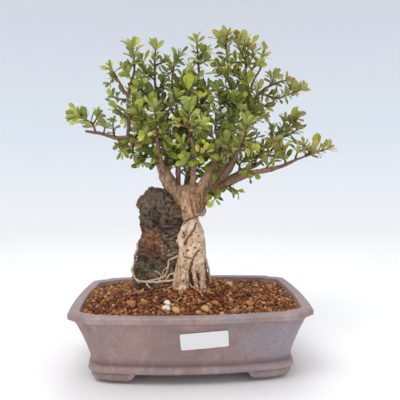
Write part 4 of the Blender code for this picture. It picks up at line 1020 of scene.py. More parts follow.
THICK = {"left_limb", "left_limb_end", "left_fork", "fork_limb", "right_limb",
         "low_right_limb", "middle_left_stem", "middle_stem", "back_limb",
         "back_left_limb", "back_right_limb", "front_left_limb", "front_limb",
         "front_right_limb", "right_back_limb", "fork_second"}
THICK_UP_TO = 188.0  # height above which a thick limb goes on as a thin branch


def wood_guide(lines):
    """A finder of the nearest line: its direction and its radius there."""
    spots = [(point, line[min(i + 1, len(line) - 1)] - line[max(i - 1, 0)], radius)
             for _, line, radii in lines for i, (point, radius) in enumerate(zip(line, radii))]
    spots += [((0.0, -2.0, z), (0, 0, 1), 9.0) for z in np.linspace(60, 150, 30)]
    tree = kdtree.KDTree(len(spots))
    for i, (point, _, _) in enumerate(spots):
        tree.insert(point, i)
    tree.balance()
    return tree, spots


def bark_relief(point, along, radius):
    """How far the bark stands out: furrows along the grain, lumps, cracks and pits."""
    flat = point - along * point.dot(along) * 0.84
    furrow = 1 - 2 * abs(noise.noise(flat / 1.5))
    fine = noise.fractal(flat / 0.8, 0.9, 2.0, 2)
    lump = noise.noise(point / 5.2)
    strength = min(radius / 6.0, 1.0)
    old = held((151 - point.z) / 8) * strength
    low = held((125 - point.z) / 6) * old
    burl = held((point.z - 121) / 6) * old
    side = held((point.x - 1) / 4) * burl
    pits = pit(point, 3.6, 0.42)
    rough = (1 - 0.6 * low) * strength
    high = held((point.z - 140) / 8) * strength
    return (rough * (0.42 * furrow + 0.22 * fine) + 1.1 * lump * old
            + high * (0.5 * furrow + 0.5 * noise.noise(point / 2.0))
            + burl * (1.3 * noise.noise(point / 2.8) + 0.5 * noise.noise(point / 1.3))
            + side * 1.0 * furrow + low * (0.8 * noise.noise(point / 2.8)
                                           + 0.35 * noise.noise(point / 1.2))
            - low * 0.7 * pits - 0.5 * pits * burl)


STRANDS = [  # old roots grown into the front of the trunk: route, first and last radius
    ([(-3.2, -11, 119), (-5.6, -13.5, 114), (-7.6, -15, 108.5), (-7.2, -17, 103),
      (-5.6, -18.5, 97.5), (-6.2, -20.5, 91), (-6.4, -22, 85)], 2.2, 3.2),
    ([(4.0, -14, 93), (3.6, -18, 86), (3.5, -21.5, 79), (4.0, -23, 71), (5.4, -24, 60)], 3.5, 2.3),
    ([(8.2, -13, 96), (8.8, -17, 88), (9.1, -19.5, 80), (9.8, -21, 72), (11.6, -23, 60)],
     3.5, 2.1),
    ([(6.4, -12, 96), (6.3, -16, 88), (6.4, -18, 80)], 3.6, 2.6),
    ([(11.0, -7, 95), (13.2, -9, 89), (15.0, -10, 82.5), (16.2, -11, 76), (17.4, -12, 60)],
     0.95, 0.8),
    ([(-6.0, -20.5, 77), (-7.0, -22.6, 71.8), (-7.4, -23, 66)], 4.4, 3.8),
    ([(4.0, -6, 112), (5.2, -9, 105), (5.0, -11, 98)], 7.2, 6.6),
    ([(-5.0, -5, 136), (-2.6, -6, 129), (-0.6, -6, 122.5)], 5.6, 5.0),
    ([(4.0, -4, 134), (8.6, -4, 130), (10.4, -3, 127)], 6.0, 4.0),
]
CLEFTS = [  # dark clefts on the front of the trunk: x and z along each, width, depth
    ([(-5.3, 118.7), (-2.6, 120.5), (0.9, 122.2), (5.7, 123.0), (8.0, 123.4)], 1.0, 1.9),
    ([(5.8, 118.2), (3.7, 113.8), (0.7, 109.7), (-2.8, 106.3), (-3.8, 102.3)], 1.25, 2.4),
    ([(-5.6, 94.9), (-3.6, 92.1), (0.7, 90.0)], 1.0, 1.4),
    ([(7.2, 96.6), (3.4, 91.9), (1.4, 87.1), (0.0, 82.4), (0.0, 77.0)], 1.1, 2.2),
    ([(0.0, 79.0), (1.0, 71.5), (1.5, 58)], 1.5, 4.0),
    ([(5.4, 80.5), (6.3, 75.0), (7.0, 69.5), (8.0, 58)], 1.1, 2.6),
    ([(12.0, 86.5), (12.7, 80.9), (13.4, 74.1), (14.8, 58)], 1.0, 2.6),
    ([(-9.0, 86.0), (-8.2, 80.5), (-8.6, 76.5)], 0.9, 1.4),
    ([(-2.6, 80.0), (-3.4, 75.0), (-2.8, 70.0)], 0.8, 1.1),
    ([(1.6, 138.0), (2.2, 132.0), (3.4, 127.0), (4.6, 124.0)], 1.2, 1.6),
    ([(5.6, 137.0), (6.0, 132.0), (6.6, 127.5)], 0.9, 1.3),
    ([(9.4, 136.0), (9.0, 131.0), (8.2, 127.0)], 0.9, 1.4),
    ([(12.4, 136.0), (12.2, 132.0), (10.6, 128.0)], 0.9, 1.2),
    ([(-8.6, 133.0), (-6.4, 129.0), (-4.6, 126.5)], 0.9, 1.0),
]
PITS = [  # small dark holes on the front of the trunk: x, z and radius
    (7.4, 108.5, 1.0), (4.7, 111.3, 0.7), (2.0, 109.1, 0.8), (4.2, 99.0, 1.1), (8.8, 103.0, 0.7),
    (-1.9, 97.1, 1.3), (9.3, 100.3, 0.6), (-3.1, 82.1, 1.2), (-3.7, 89.3, 0.9),
    (-4.8, 111.1, 1.4), (-6.0, 107.8, 1.2), (2.6, 103.5, 0.6), (6.4, 93.4, 0.8), (-7.8, 78.0, 0.9),
    (5.8, 123.6, 1.5), (-3.2, 131.5, 1.0), (12.6, 133.0, 1.2), (-5.6, 73.5, 1.1), (4.4, 84.5, 0.9),
    (9.4, 86.0, 0.8), (0.6, 101.0, 0.7), (10.2, 95.0, 0.8),
]


def cleft_depth(point):
    """How deep the clefts and holes cut at a point on the front of the trunk."""
    if point.y > -2:
        return 0.0
    deep = 0.0
    shift = (0.9 * noise.noise(Vector((point.x / 2.4, 3, point.z / 2.4)))
             + 0.6 * noise.noise(Vector((point.x / 0.9, 8, point.z / 0.9))))
    for route, width, depth in CLEFTS:
        for (xa, za), (xb, zb) in zip(route, route[1:]):
            span = Vector((xb - xa, zb - za))
            rel = Vector((point.x + shift - xa, point.z - za))
            share = held(rel.dot(span) / span.length_squared)
            gap = (rel - span * share).length / width
            deep = max(deep, depth * max(0.0, 1 - gap * gap))
    for x, z, radius in PITS:
        gap = math.hypot(point.x + shift - x, point.z - z) / radius
        deep = max(deep, 1.7 * max(0.0, 1 - gap * gap))
    return deep


def make_trunk(lines):
    """The trunk, its roots and its thick limbs, grown together under one rough bark."""
    heights = np.linspace(50, TRUNK[-1][0], 44)
    parts = [side_sheet("trunk_core", TRUNK, heights, 40, TRUNK_SQUARENESS, TRUNK_ROUGHNESS)]
    for i, (name, line, radii) in enumerate(lines):
        if name in THICK:
            keep = max(int((line[:, 2] < THICK_UP_TO).sum()), 4)
            line, radii = knotty(line, radii, i)
            parts.append(rounded_tube(name, line[:keep], radii[:keep], 14))
        elif name.startswith("root_"):
            parts.append(rounded_tube(name, *knotty(line, radii, i), 12))
    for i, (route, first, last) in enumerate(STRANDS):
        line, radii = knotty(*tapered(route, 6, first, last), i + 40)
        parts.append(rounded_tube("strand", line, radii, 14))
    trunk = joined("trunk_wood", parts)
    remeshed(trunk, 0.62)
    smoothed(trunk, 0.5, 5)
    tree, spots = wood_guide(lines)
    co, no = points_of(trunk), normals_of(trunk)
    push, age, deep = np.zeros(len(co)), np.zeros(len(co)), np.zeros(len(co))
    for i, spot in enumerate(co):
        point = Vector(spot)
        _, near, gap = tree.find(point)
        along, radius = Vector(spots[near][1]).normalized(), spots[near][2]
        deep[i] = cleft_depth(point) * held((-no[i][1] + 0.3) / 0.5)
        push[i] = bark_relief(point, along, radius) - deep[i]
        age[i] = min(max(radius, gap) / 8.0 + max(136 - point.z, 0) / 10.0, 1.0)
    set_points(trunk, co + no * push[:, None])
    smoothed(trunk, 0.3, 1)
    store(trunk, "relief", relief_of(trunk, 1.8, 1))
    store(trunk, "age", age)
    store(trunk, "hollow", np.clip(deep / 3.0, 0, 1))
    return trunk


def make_thin_branches(lines):
    """The branches and the ends of limbs that are too thin for the trunk's skin."""
    parts = []
    for i, (name, line, radii) in enumerate(lines):
        if "root" in name:
            continue
        line, radii = knotty(line, radii, i)
        if name in THICK:
            first = max(int((line[:, 2] < THICK_UP_TO).sum()), 4) - 2
            if len(line) - first < 4:
                continue
            line, radii = line[first:], radii[first:] * 0.97
        fine = curve_through(np.column_stack([line, radii]), 3)
        parts.append(rounded_tube(name, fine[:, :3], fine[:, 3], 10))
    return roughened("branch_wood", parts, lines, 0.30)


def roughened(name, parts, lines, ridges):
    """Joins tubes into one piece and gives them the ridges and dents of thin wood."""
    wood = joined(name, parts)
    tree, spots = wood_guide(lines)
    co, no = points_of(wood), normals_of(wood)
    push, age = np.zeros(len(co)), np.zeros(len(co))
    for i, spot in enumerate(co):
        point = Vector(spot)
        _, near, _ = tree.find(point)
        along, radius = Vector(spots[near][1]).normalized(), spots[near][2]
        flat = point - along * point.dot(along) * 0.8
        push[i] = ridges * noise.noise(flat / 0.9) * min(radius / 2, 1) + 0.1 * noise.noise(point)
        age[i] = min(radius / 8.0, 1.0)
    set_points(wood, co + no * push[:, None])
    store(wood, "relief", relief_of(wood, 1.2, 0))
    store(wood, "age", age)
    store(wood, "hollow", np.zeros(len(co)))
    return wood


FRONT_ROOTS = [  # thin roots on the front of the rock and over the soil: x, z, then radii
    ([(-9.4, 106.5), (-10.6, 104.0), (-8.2, 102.2), (-7.4, 97.3), (-9.2, 93.3), (-13.0, 91.2),
      (-17.2, 89.0), (-18.0, 83.2), (-20.4, 77.6), (-23.4, 75.1), (-28.0, 73.6),
      (-32.9, 72.9)], 0.92, 0.62),
    ([(-11.4, 78.4), (-14.0, 78.2), (-17.3, 77.2), (-19.7, 73.2), (-22.7, 72.6), (-26.0, 73.4)],
     0.9, 0.6),
    ([(-18.0, 84.0), (-21.5, 81.0), (-22.5, 76.5)], 0.5, 0.35),
    ([(-9.0, 93.4), (-10.4, 86.5), (-12.2, 80.0), (-13.0, 72.0)], 0.8, 0.6),
    ([(-23.4, 75.2), (-25.5, 79.0), (-29.0, 80.4)], 0.45, 0.3),
    ([(-30.7, 72.6), (-28.8, 69.5), (-26.1, 66.7)], 0.55, 0.35),
    ([(-20.2, 77.0), (-18.0, 71.0), (-19.0, 66.0)], 0.5, 0.35),
]
SOIL_ROOTS = [  # fine roots that trail over the soil: x and y, first and last radius
    ([(-1, -22), (3, -27), (8, -31), (10, -37)], 0.6, 0.3),
    ([(-6, -24), (-9, -31), (-8, -37), (-11, -43)], 0.5, 0.28),
    ([(8, -22), (13, -26), (17, -31)], 0.55, 0.28),
    ([(-9, -22), (-16, -26), (-22, -30)], 0.5, 0.28),
    ([(-38, -21), (-47, -22), (-55, -18)], 0.5, 0.28),
    ([(16, 6), (27, 9), (35, 16)], 0.6, 0.3),
]


def rock_front(x, z):
    """Where the front of the rock or of the trunk stands, in y, whichever is nearer."""
    nearest = 30.0
    for table, square in ((ROCK, ROCK_SQUARENESS), (TRUNK, TRUNK_SQUARENESS)):
        left, right, front, back = between(table, z)
        across = abs(x - (left + right) / 2) / ((right - left) / 2)
        if across < 1:
            reach = (back - front) / 2 * (1 - across ** square) ** (1 / square)
            nearest = min(nearest, (front + back) / 2 - reach)
    return nearest


def make_thin_roots(lines):
    """The pale thin roots that cling to the rock, and those that trail over the soil."""
    parts = []
    for i, (name, line, radii) in enumerate(lines):
        if name in ("rock_root_0", "rock_root_2", "rock_root_3"):
            line, radii = knotty(line, radii * 0.62, i)
            line = line + 0.9 * each(lambda p: noise.noise_vector(p / 4.0), line)
            radii = radii * (1 + 1.5 * np.maximum(each(lambda p: noise.noise(p / 4.5), line), 0))
            line = line + (0, -0.5, 1.8)
            fine = curve_through(np.column_stack([line, radii]), 2)
            parts.append(rounded_tube(name, fine[:, :3], fine[:, 3], 9))
    for i, (route, first, last) in enumerate(FRONT_ROOTS):
        flat, radii = tapered(route, 5, first, last)
        line = np.array([(x, rock_front(x, z) - 0.9 + 0.6 * noise.noise(
            Vector((x / 4, i, z / 4))), z) for x, z in flat])
        line, radii = knotty(line, radii, i + 60)
        parts.append(rounded_tube("front_root", line, radii, 8))
    for i, (route, first, last) in enumerate(SOIL_ROOTS):
        flat, radii = tapered(route, 6, first, last)
        line = np.array([(x, y, mound(x, y) + 0.7 + 1.2 * noise.noise(Vector((x / 3, y / 3, i))))
                         for x, y in flat])
        line, radii = knotty(line, radii, i + 80)
        parts.append(rounded_tube("soil_root", line, radii, 7))
    return roughened("thin_roots", parts, lines, 0.34)


# Leaves

def leaf_shapes():
    """Four leaves, each modelled once, 1 long, pointing along +Y with its upper face up."""
    shapes = []
    rows = [0.0, 0.15, 0.36, 0.58, 0.79, 0.94, 1.0]
    forms = [  # half widths along the leaf, cup, arch, twist
        ((0.026, 0.060, 0.150, 0.225, 0.222, 0.142, 0.032), 0.12, 0.07, 0.14),
        ((0.026, 0.068, 0.178, 0.268, 0.266, 0.174, 0.040), 0.18, 0.12, -0.12),
        ((0.024, 0.050, 0.118, 0.172, 0.168, 0.106, 0.026), 0.10, 0.02, 0.20),
        ((0.026, 0.060, 0.160, 0.240, 0.238, 0.154, 0.034), 0.32, 0.26, -0.08),
    ]
    for widths, cup, arch, twist in forms:
        bpy.ops.mesh.primitive_grid_add(x_subdivisions=4, y_subdivisions=6, size=1.0)
        leaf = added("leaf")
        spots = []
        for j, along in enumerate(rows):
            for i in range(5):
                side = (i - 2) / 2
                x = side * widths[j]
                y = along - 0.03 * side * side * (along > 0.9)
                z = cup * x * side - arch * along * along + 0.02 * math.sin(along * 9) * side
                turn = twist * along
                spots.append((x * math.cos(turn) - z * math.sin(turn), y,
                              x * math.sin(turn) + z * math.cos(turn)))
        set_points(leaf, spots)
        thickened(leaf, 0.034)
        store(leaf, "under", (normals_of(leaf)[:, 2] < 0).astype(float))
        shapes.append(taken(leaf))
    return shapes


def thorn_shape():
    """A straight thorn, 1 long, pointing along +Y."""
    bpy.ops.mesh.primitive_cone_add(vertices=6, radius1=0.5, radius2=0.04, depth=1.0,
                                    location=(0, 0.5, 0), rotation=(-math.pi / 2, 0, 0))
    thorn = added("thorn")
    bpy.ops.object.transform_apply(location=True, rotation=True, scale=True)
    return taken(turn_out(thorn))


def tube_shape(line, radii, sides):
    """A twig as arrays, with U round it and V along it in millimetres."""
    rows = tube_rows(line, radii, sides)
    count = len(rows)
    co = rows.reshape(-1, 3)
    corners, uv = [], []
    length = way_along(line)
    for i in range(count - 1):
        for j in range(sides):
            k = (j + 1) % sides
            corners += [i * sides + j, i * sides + k, (i + 1) * sides + k, (i + 1) * sides + j]
            uv += [(j / sides, length[i]), ((j + 1) / sides, length[i]),
                   ((j + 1) / sides, length[i + 1]), (j / sides, length[i + 1])]
    sizes = [4] * ((count - 1) * sides) + [sides, sides]
    corners += list(range(sides))[::-1] + [(count - 1) * sides + j for j in range(sides)]
    uv += [(0.5, 0.0)] * sides + [(0.5, length[-1])] * sides
    shape = {"corners": np.array(corners, np.int32), "sizes": np.array(sizes, np.int32),
             "uv": np.array(uv, float)}
    return shape, co


def facing(along, face):
    """The turn that lays +Y along a direction and +Z towards a face."""
    y = along.normalized()
    z = (face - y * face.dot(y)).normalized()
    return Matrix((y.cross(z), y, z)).transposed()


class Canopy:
    """All the leaves so far, as balls along each blade, so that new ones keep clear."""

    CELL = 4.0

    def __init__(self, kept_clear):
        self.cells = {}
        self.kept_clear = kept_clear

    def hides(self, balls):
        """Whether a leaf would cover one of the spots that stay in sight from the front."""
        for spot in self.kept_clear:
            for ball in balls:
                share = (ball[1] - EYE[1]) / (spot[1] - EYE[1])
                x, z = (EYE[i] + (spot[i] - EYE[i]) * share - ball[i] for i in (0, 2))
                if share < 1 and math.hypot(x, z) < SIGHT_WIDTH:
                    return True
        return False

    def home(self, ball):
        return tuple(int(x // self.CELL) for x in ball)

    def room(self, balls):
        """The gap from the nearest leaf, up to one cell."""
        best = self.CELL ** 2
        for ball in balls:
            i, j, k = self.home(ball)
            for a in (i - 1, i, i + 1):
                for b in (j - 1, j, j + 1):
                    for c in (k - 1, k, k + 1):
                        for x, y, z in self.cells.get((a, b, c), ()):
                            gap = (ball[0] - x) ** 2 + (ball[1] - y) ** 2 + (ball[2] - z) ** 2
                            best = min(best, gap)
        return math.sqrt(best)

    def keep(self, balls):
        for ball in balls:
            self.cells.setdefault(self.home(ball), []).append(tuple(ball))


EYE = (-7.0733, -425.8034, 160.394)  # where the photograph was taken from
SIGHT_WIDTH = 4.6  # how far a leaf keeps from the line of sight to a flower
BIG_LEAF = [(0, -19, 231), (0, -19, 236)]  # spots on the big pale leaf in the middle
LOWEST_LEAF, LEAST_ROOM, LEAF_TRIES = 78, 0.9, 4
SHAPE_SHARES = (5, 3, 4, 3)  # how often each of the four leaf shapes is drawn


def leaf_balls(foot, turn, length):
    return [foot + turn @ Vector((0, share * length, -0.08 * length * share))
            for share in (0.5, 0.74, 0.95)]


def inside_box(balls, margin):
    return all(BOX_LOW[i] + margin < ball[i] < BOX_HIGH[i] - margin
               for ball in balls for i in range(3))


def any_side(draw, along):
    """A direction square to a line, drawn at random round it."""
    return Matrix.Rotation(draw.uniform(0, math.tau), 3, along) @ along.orthogonal().normalized()


def leaf_place(draw, along, turn, spread):
    """How a leaf lies: out from its twig, with its upper face towards tip, sky and front."""
    side = along.orthogonal().normalized()
    around = Matrix.Rotation(turn, 3, along) @ side
    out = (along * math.cos(spread) + around * math.sin(spread) + Vector((0, 0, 0.18))).normalized()
    face = along + Vector((draw.uniform(-0.5, 0.5), draw.uniform(-0.7, 0.5), 0.45))
    return facing(out, face) @ Matrix.Rotation(draw.gauss(0, 0.45), 3, "Y")


def grow_rosette(draw, pile, shapes, canopy, spot, along, leaves, spreads, sizes, tone):
    """Leaves round one joint of a twig, each turned to where there is most room."""
    first = draw.uniform(0, math.tau)
    for k in range(leaves):
        best, best_room = None, -1.0
        size = draw.uniform(*sizes) * (0.72 if draw.random() < 0.2 else 1.0)
        for _ in range(LEAF_TRIES):
            turn = first + 2.4 * k + draw.uniform(-0.8, 0.8)
            spread = spreads[0] + (spreads[1] - spreads[0]) * (k + draw.random()) / leaves
            turned = leaf_place(draw, along, turn, spread)
            foot = spot + turned @ Vector((0, 0.5, 0)) - along * draw.uniform(0, 1.2)
            balls = leaf_balls(foot, turned, size)
            low = balls[-1][2] < LOWEST_LEAF
            if not inside_box(balls, 0.5) or low or canopy.hides(balls):
                continue
            room = canopy.room(balls)
            if room > best_room:
                best, best_room = (turned, foot, balls), room
        if best is None or best_room < LEAST_ROOM:
            continue
        turned, foot, balls = best
        canopy.keep(balls)
        shape = draw.choices(shapes, SHAPE_SHARES)[0]
        add_leaf(pile, shape, foot, turned, size, draw.uniform(0.86, 1.14),
                 (held(tone[0] + draw.uniform(-0.28, 0.28)),
                  held(tone[1] + draw.uniform(-0.3, 0.3)), draw.random()))


def add_leaf(pile, shape, foot, turned, size, wide, tone):
    co = shape["co"] * (size * wide, size, size) @ np.array(turned).T + np.array(foot)
    tint = np.empty((len(co), 4))
    tint[:, :3] = tone
    tint[:, 3] = shape["under"]
    pile.add(shape, co, tint, 0)


def add_thorn(pile, thorn, foot, tip, radius=0.48):
    along = (tip - foot) * (1 - 0.06 / (tip - foot).length)
    turned = facing(along, Vector((0.3, 0.2, 1)))
    co = thorn["co"] * (radius * 2, along.length, radius * 2)
    pile.add(thorn, co @ np.array(turned).T + np.array(foot), (0.5, 0.5, 0.5, 0), 2)


CROWN_MIDDLE, CROWN_REACH = (8, 5, 195), (105, 62, 80)


def light_tone(spot):
    """Leaf colour by place: painted light on the outside of the crown, painted shade inside it, and
    redder at the top and the right.
    """
    out = Vector(spot) - Vector(CROWN_MIDDLE)
    far = math.sqrt(sum((a / b) ** 2 for a, b in zip(out, CROWN_REACH)))
    tone = 0.04 + 0.68 * min(far, 1.1)
    red = 0.14 + 0.8 * max(0.0, (spot[0] - 40) / 60) + 0.9 * max(0.0, (spot[2] - 240) / 35) \
        * held((spot[0] + 5) / 40)
    return tone, min(red, 0.9)


def nearest_on_lines(lines, point):
    point = Vector(point)
    best, best_gap = None, math.inf
    for line in lines:
        for a, b in zip(line, line[1:]):
            a, b = Vector(a), Vector(b)
            share = (point - a).dot(b - a) / (b - a).length_squared
            spot = a + (b - a) * held(share, 0.0, 1.0)
            if (point - spot).length < best_gap:
                best, best_gap = spot, (point - spot).length
    return best


def twig_lines(name, wood):
    """The routes of a spray's twigs, with the first one begun inside its branch."""
    routes = []
    for i, route in enumerate(SPRAYS[name]):
        points = [Vector(point) for point in route]
        if i == 0:
            points[0] = nearest_on_lines(wood, route[0])
        routes.append(curve_through(points, 5))
    return routes


def make_spray(name, wood, shapes, thorn, canopy):
    """One leafy spray: twigs with a joint every few millimetres, leaves and thorns."""
    draw = random.Random(name)
    pile = Gathered()
    lines = twig_lines(name, wood)
    for order, line in enumerate(lines):
        tip, joint, size = HABITS.get(name, USUAL_HABIT)
        grow_twig(draw, pile, line, 1.0 if order == 0 else 0.8, shapes, thorn, canopy,
                  (tip, joint, size if order == 0 else size * SIDE_TWIG))
    if name in OUTER_THORNS:
        tip = Vector(OUTER_THORNS[name])
        foot = nearest_on_lines(lines, tip)
        foot = nearest_on_lines(lines, foot + (foot - tip).normalized() * 1.5)
        add_thorn(pile, thorn, foot, tip, 0.46)
    return pile.piece(name.replace("_spray", "_leaves"))


def grow_twig(draw, pile, line, radius, shapes, thorn, canopy, leaves):
    """A twig along a line, leafy from its tip back, with leaves at the tip and each joint."""
    length = way_along(line)
    total, back = length[-1], 0.0
    fine = curve_through(line, 2)
    run = np.linspace(0, total, len(fine))
    swell = 1 + 0.25 * np.cos(math.pi * (total - run) / 4.6) ** 8
    shape, co = tube_shape(fine, np.linspace(radius, 0.58, len(fine)) * swell, 6)
    pile.add(shape, co, (0.5, 0.5, draw.random(), 0), 1)
    while back < total - 3.0 or back == 0.0:
        at = total - back
        i = min(max(int(np.searchsorted(length, at)), 1), len(line) - 1)
        a, b = Vector(line[i - 1]), Vector(line[i])
        share = (at - length[i - 1]) / max(length[i] - length[i - 1], 1e-6)
        spot, along = a + (b - a) * share, (b - a).normalized()
        tone = light_tone(spot)
        if back == 0.0:
            grow_rosette(draw, pile, shapes, canopy, spot, along, leaves[0],
                         (0.15, 1.2), (8.2 * leaves[2], 13.2 * leaves[2]), tone)
        else:
            # leaves at the joints get painted shade, darker than those at the tip
            grow_rosette(draw, pile, shapes, canopy, spot, along, leaves[1] + draw.randrange(2),
                         (0.6, 1.5), (6.2 * leaves[2], 12.0 * leaves[2]),
                         (tone[0] - 0.12, tone[1] * 0.6))
            side = any_side(draw, along)
            tip = spot + (side + along * draw.uniform(0.1, 1.1)).normalized() * draw.uniform(5, 10)
            if inside_box([tip], 0.5) and draw.random() < 0.62:
                add_thorn(pile, thorn, spot - along * 0.7, tip)
        back += draw.uniform(4.0, 5.4)


BARE_BRANCHES = {"left_limb_end", "left_stub", "left_upright_fork", "low_right_limb",
                 "right_back_limb", "right_stem_fork", "top_right_twig"}
LOWEST_SPUR, LOWEST_THICK_SPUR, THICK_LIMB = 160, 168, 2.6
HEART, HEART_REACH = (2.0, 204.0), (56.0, 40.0)  # x and z of the middle of the crown
INNER_REGIONS = {  # leaves on short spurs along the branches: bounds of x and y
    "inner_leaves_left": ((-200, -14), (-16, 19)),
    "inner_leaves_middle": ((-14, 22), (-16, 19)),
    "inner_leaves_right": ((22, 200), (-16, 19)),
    "inner_leaves_back": ((-200, 200), (19, 200)),
    "inner_leaves_front": ((-200, 200), (-200, -16)),
}


def make_inner_leaves(name, lines, shapes, thorn, canopy):
    """Short leafy spurs all along the branches of one part of the crown."""
    (left, right), (near, far_edge) = INNER_REGIONS[name]
    draw = random.Random(name)
    pile = Gathered()
    for branch, line, radii in lines:
        if "root" in branch or branch in BARE_BRANCHES:
            continue
        walked, wanted = 0.0, draw.uniform(2, 6)
        for i in range(1, len(line)):
            a, b = Vector(line[i - 1]), Vector(line[i])
            walked += (b - a).length
            if walked < wanted:
                continue
            wanted = walked + draw.uniform(4.5, 8.0)
            here = left <= b.x < right and near <= b.y < far_edge
            low = LOWEST_THICK_SPUR if radii[i] > THICK_LIMB else LOWEST_SPUR
            if not here or b.z < low:
                continue
            along = (b - a).normalized()
            side = any_side(draw, along)
            out = (side + along * 0.35 + Vector((0, 0, 0.25))).normalized()
            length = radii[i] + draw.uniform(4.0, 11.0)
            bend = Vector((draw.uniform(-1, 1), draw.uniform(-1, 1), draw.uniform(0.2, 1.4)))
            tip = b + out * length + bend
            far = math.hypot((tip.x - HEART[0]) / HEART_REACH[0],
                             (tip.z - HEART[1]) / HEART_REACH[1])
            if not inside_box([tip], 6) or far > 1:
                continue
            spur = curve_through([b, b + out * length * 0.55, tip], 3)
            grow_twig(draw, pile, spur, 0.75, shapes, thorn, canopy, (6, 3, 0.92))
    routes = [line for _, line, _ in lines]
    for spray in SPRAYS:
        routes += SPRAYS[spray]
    for route in EXTRA_TWIGS:
        if left <= route[-1][0] < right and near <= route[-1][1] < far_edge:
            start = nearest_on_lines(routes, route[0])
            grow_twig(draw, pile, curve_through([start] + route[1:], 4), 0.8, shapes, thorn,
                      canopy, (7, 4, 0.86))
    for foot, way, face, size, wide, tone in SINGLE_LEAVES:
        if left <= foot[0] < right and near <= foot[1] < far_edge:
            stalk = nearest_on_lines(routes, foot)
            bend = (stalk + Vector(foot)) / 2 + Vector((0, 0, 0.4))
            shape, co = tube_shape(np.array([stalk, bend, foot]), [0.5, 0.42, 0.36], 5)
            pile.add(shape, co, (0.5, 0.5, 0.4, 0), 1)
            add_leaf(pile, shapes[0], foot, facing(Vector(way), Vector(face)), size, wide,
                     (tone, 0.15, 0.2))
    return pile.piece(name)


# Finishes

class Finish:
    """A material or a group under construction: short calls that add and link nodes."""

    def __init__(self, tree):
        self.tree = tree

    def feed(self, socket, value):
        """Links a socket to another one, or gives it a plain value."""
        if isinstance(value, bpy.types.NodeSocket):
            self.tree.links.new(value, socket)
        else:
            socket.default_value = value

    def node(self, kind, inputs=None, **settings):
        made = self.tree.nodes.new("ShaderNode" + kind)
        for key, value in settings.items():
            setattr(made, key, value)
        for key, value in (inputs or {}).items():
            self.feed(made.inputs[key], value)
        return made

    def maths(self, operation, *values, clamp=False):
        made = self.node("Math", dict(enumerate(values)), operation=operation, use_clamp=clamp)
        return made.outputs[0]

    def plus(self, a, b, clamp=False):
        return self.maths("ADD", a, b, clamp=clamp)

    def minus(self, a, b):
        return self.maths("SUBTRACT", a, b)

    def times(self, a, b, clamp=False):
        return self.maths("MULTIPLY", a, b, clamp=clamp)

    def vectors(self, operation, a, b):
        """Works on two vectors, or on a vector and the number that scales it."""
        made = self.node("VectorMath", {0: a, 3 if operation == "SCALE" else 1: b},
                         operation=operation)
        return made.outputs[0]

    def mix(self, share, a, b):
        made = self.node("Mix", {0: share}, data_type="RGBA")
        for index, value in ((6, a), (7, b)):
            socket = isinstance(value, bpy.types.NodeSocket)
            self.feed(made.inputs[index], value if socket else (*value, 1.0))
        return made.outputs[2]

    def span(self, value, low, high, to_low=0.0, to_high=1.0):
        made = self.node("MapRange", {0: value, 1: low, 2: high, 3: to_low, 4: to_high})
        return made.outputs[0]

    def noise(self, vector, scale, detail=3.0, rough=0.55, distortion=0.0):
        return self.node("TexNoise", {"Vector": vector, "Scale": scale, "Detail": detail,
                                      "Roughness": rough, "Distortion": distortion}).outputs[0]

    def cells(self, vector, scale):
        return self.node("TexVoronoi", {"Vector": vector, "Scale": scale}).outputs

    def ramp(self, value, stops):
        made = self.node("ValToRGB", {0: value})
        marks = made.color_ramp.elements
        while len(marks) < len(stops):
            marks.new(0.5)
        for mark, (place, colour) in zip(marks, stops):
            mark.position = place
            mark.color = (*colour, 1.0)
        return made.outputs[0]

    def value_of(self, name):
        return self.node("Attribute", attribute_name=name).outputs["Fac"]


def new_group(name, inputs, outputs):
    tree = bpy.data.node_groups.new(name, "ShaderNodeTree")
    kinds = {"v": "NodeSocketVector", "f": "NodeSocketFloat"}
    for label, kind, default in inputs:
        socket = tree.interface.new_socket(label, in_out="INPUT", socket_type=kinds[kind])
        if default is not None:
            socket.default_value = default
    for label in outputs:
        tree.interface.new_socket(label, in_out="OUTPUT", socket_type=kinds["f"])
    entry = tree.nodes.new("NodeGroupInput").outputs
    result = tree.nodes.new("NodeGroupOutput").inputs
    return Finish(tree), entry, result


def build_cloudy():
    """Broad, uneven drift between two tones, as fired clay, stone and bark all show."""
    work, entry, result = new_group("cloudy_tones", [
        ("Vector", "v", None), ("Scale", "f", 40.0), ("Contrast", "f", 1.0)], ["Drift", "Fine"])
    broad = work.noise(entry["Vector"], entry["Scale"], 4.0, 0.6, 0.4)
    fine = work.noise(entry["Vector"], work.times(entry["Scale"], 9.0), 3.0, 0.65)
    both = work.plus(work.times(broad, 0.72), work.times(fine, 0.28))
    centred = work.times(work.minus(both, 0.5), entry["Contrast"])
    work.feed(result["Drift"], work.plus(work.times(centred, 2.4), 0.5, clamp=True))
    work.feed(result["Fine"], fine)
    return work.tree


def build_grit():
    """The height of a gritty surface: sand in the clay, pores in the stone."""
    work, entry, result = new_group("grit", [
        ("Vector", "v", None), ("Scale", "f", 900.0), ("Pores", "f", 0.5)], ["Height"])
    sand = work.noise(entry["Vector"], entry["Scale"], 4.0, 0.7)
    cells = work.cells(entry["Vector"], work.times(entry["Scale"], 0.7))
    pores = work.span(cells["Distance"], 0.0, 0.35, -1.0, 0.0)
    work.feed(result["Height"], work.plus(sand, work.times(pores, entry["Pores"])))
    return work.tree


def build_flecks():
    """A mask of small scattered specks, a few of them in each patch."""
    work, entry, result = new_group("flecks", [
        ("Vector", "v", None), ("Scale", "f", 400.0), ("Size", "f", 0.2), ("Share", "f", 0.3)],
        ["Mask"])
    cells = work.cells(entry["Vector"], entry["Scale"])
    round_spot = work.maths("LESS_THAN", cells["Distance"], entry["Size"])
    draw = work.node("SeparateColor", {0: cells["Color"]}).outputs[0]
    chosen = work.maths("LESS_THAN", draw, entry["Share"])
    work.feed(result["Mask"], work.times(round_spot, chosen))
    return work.tree


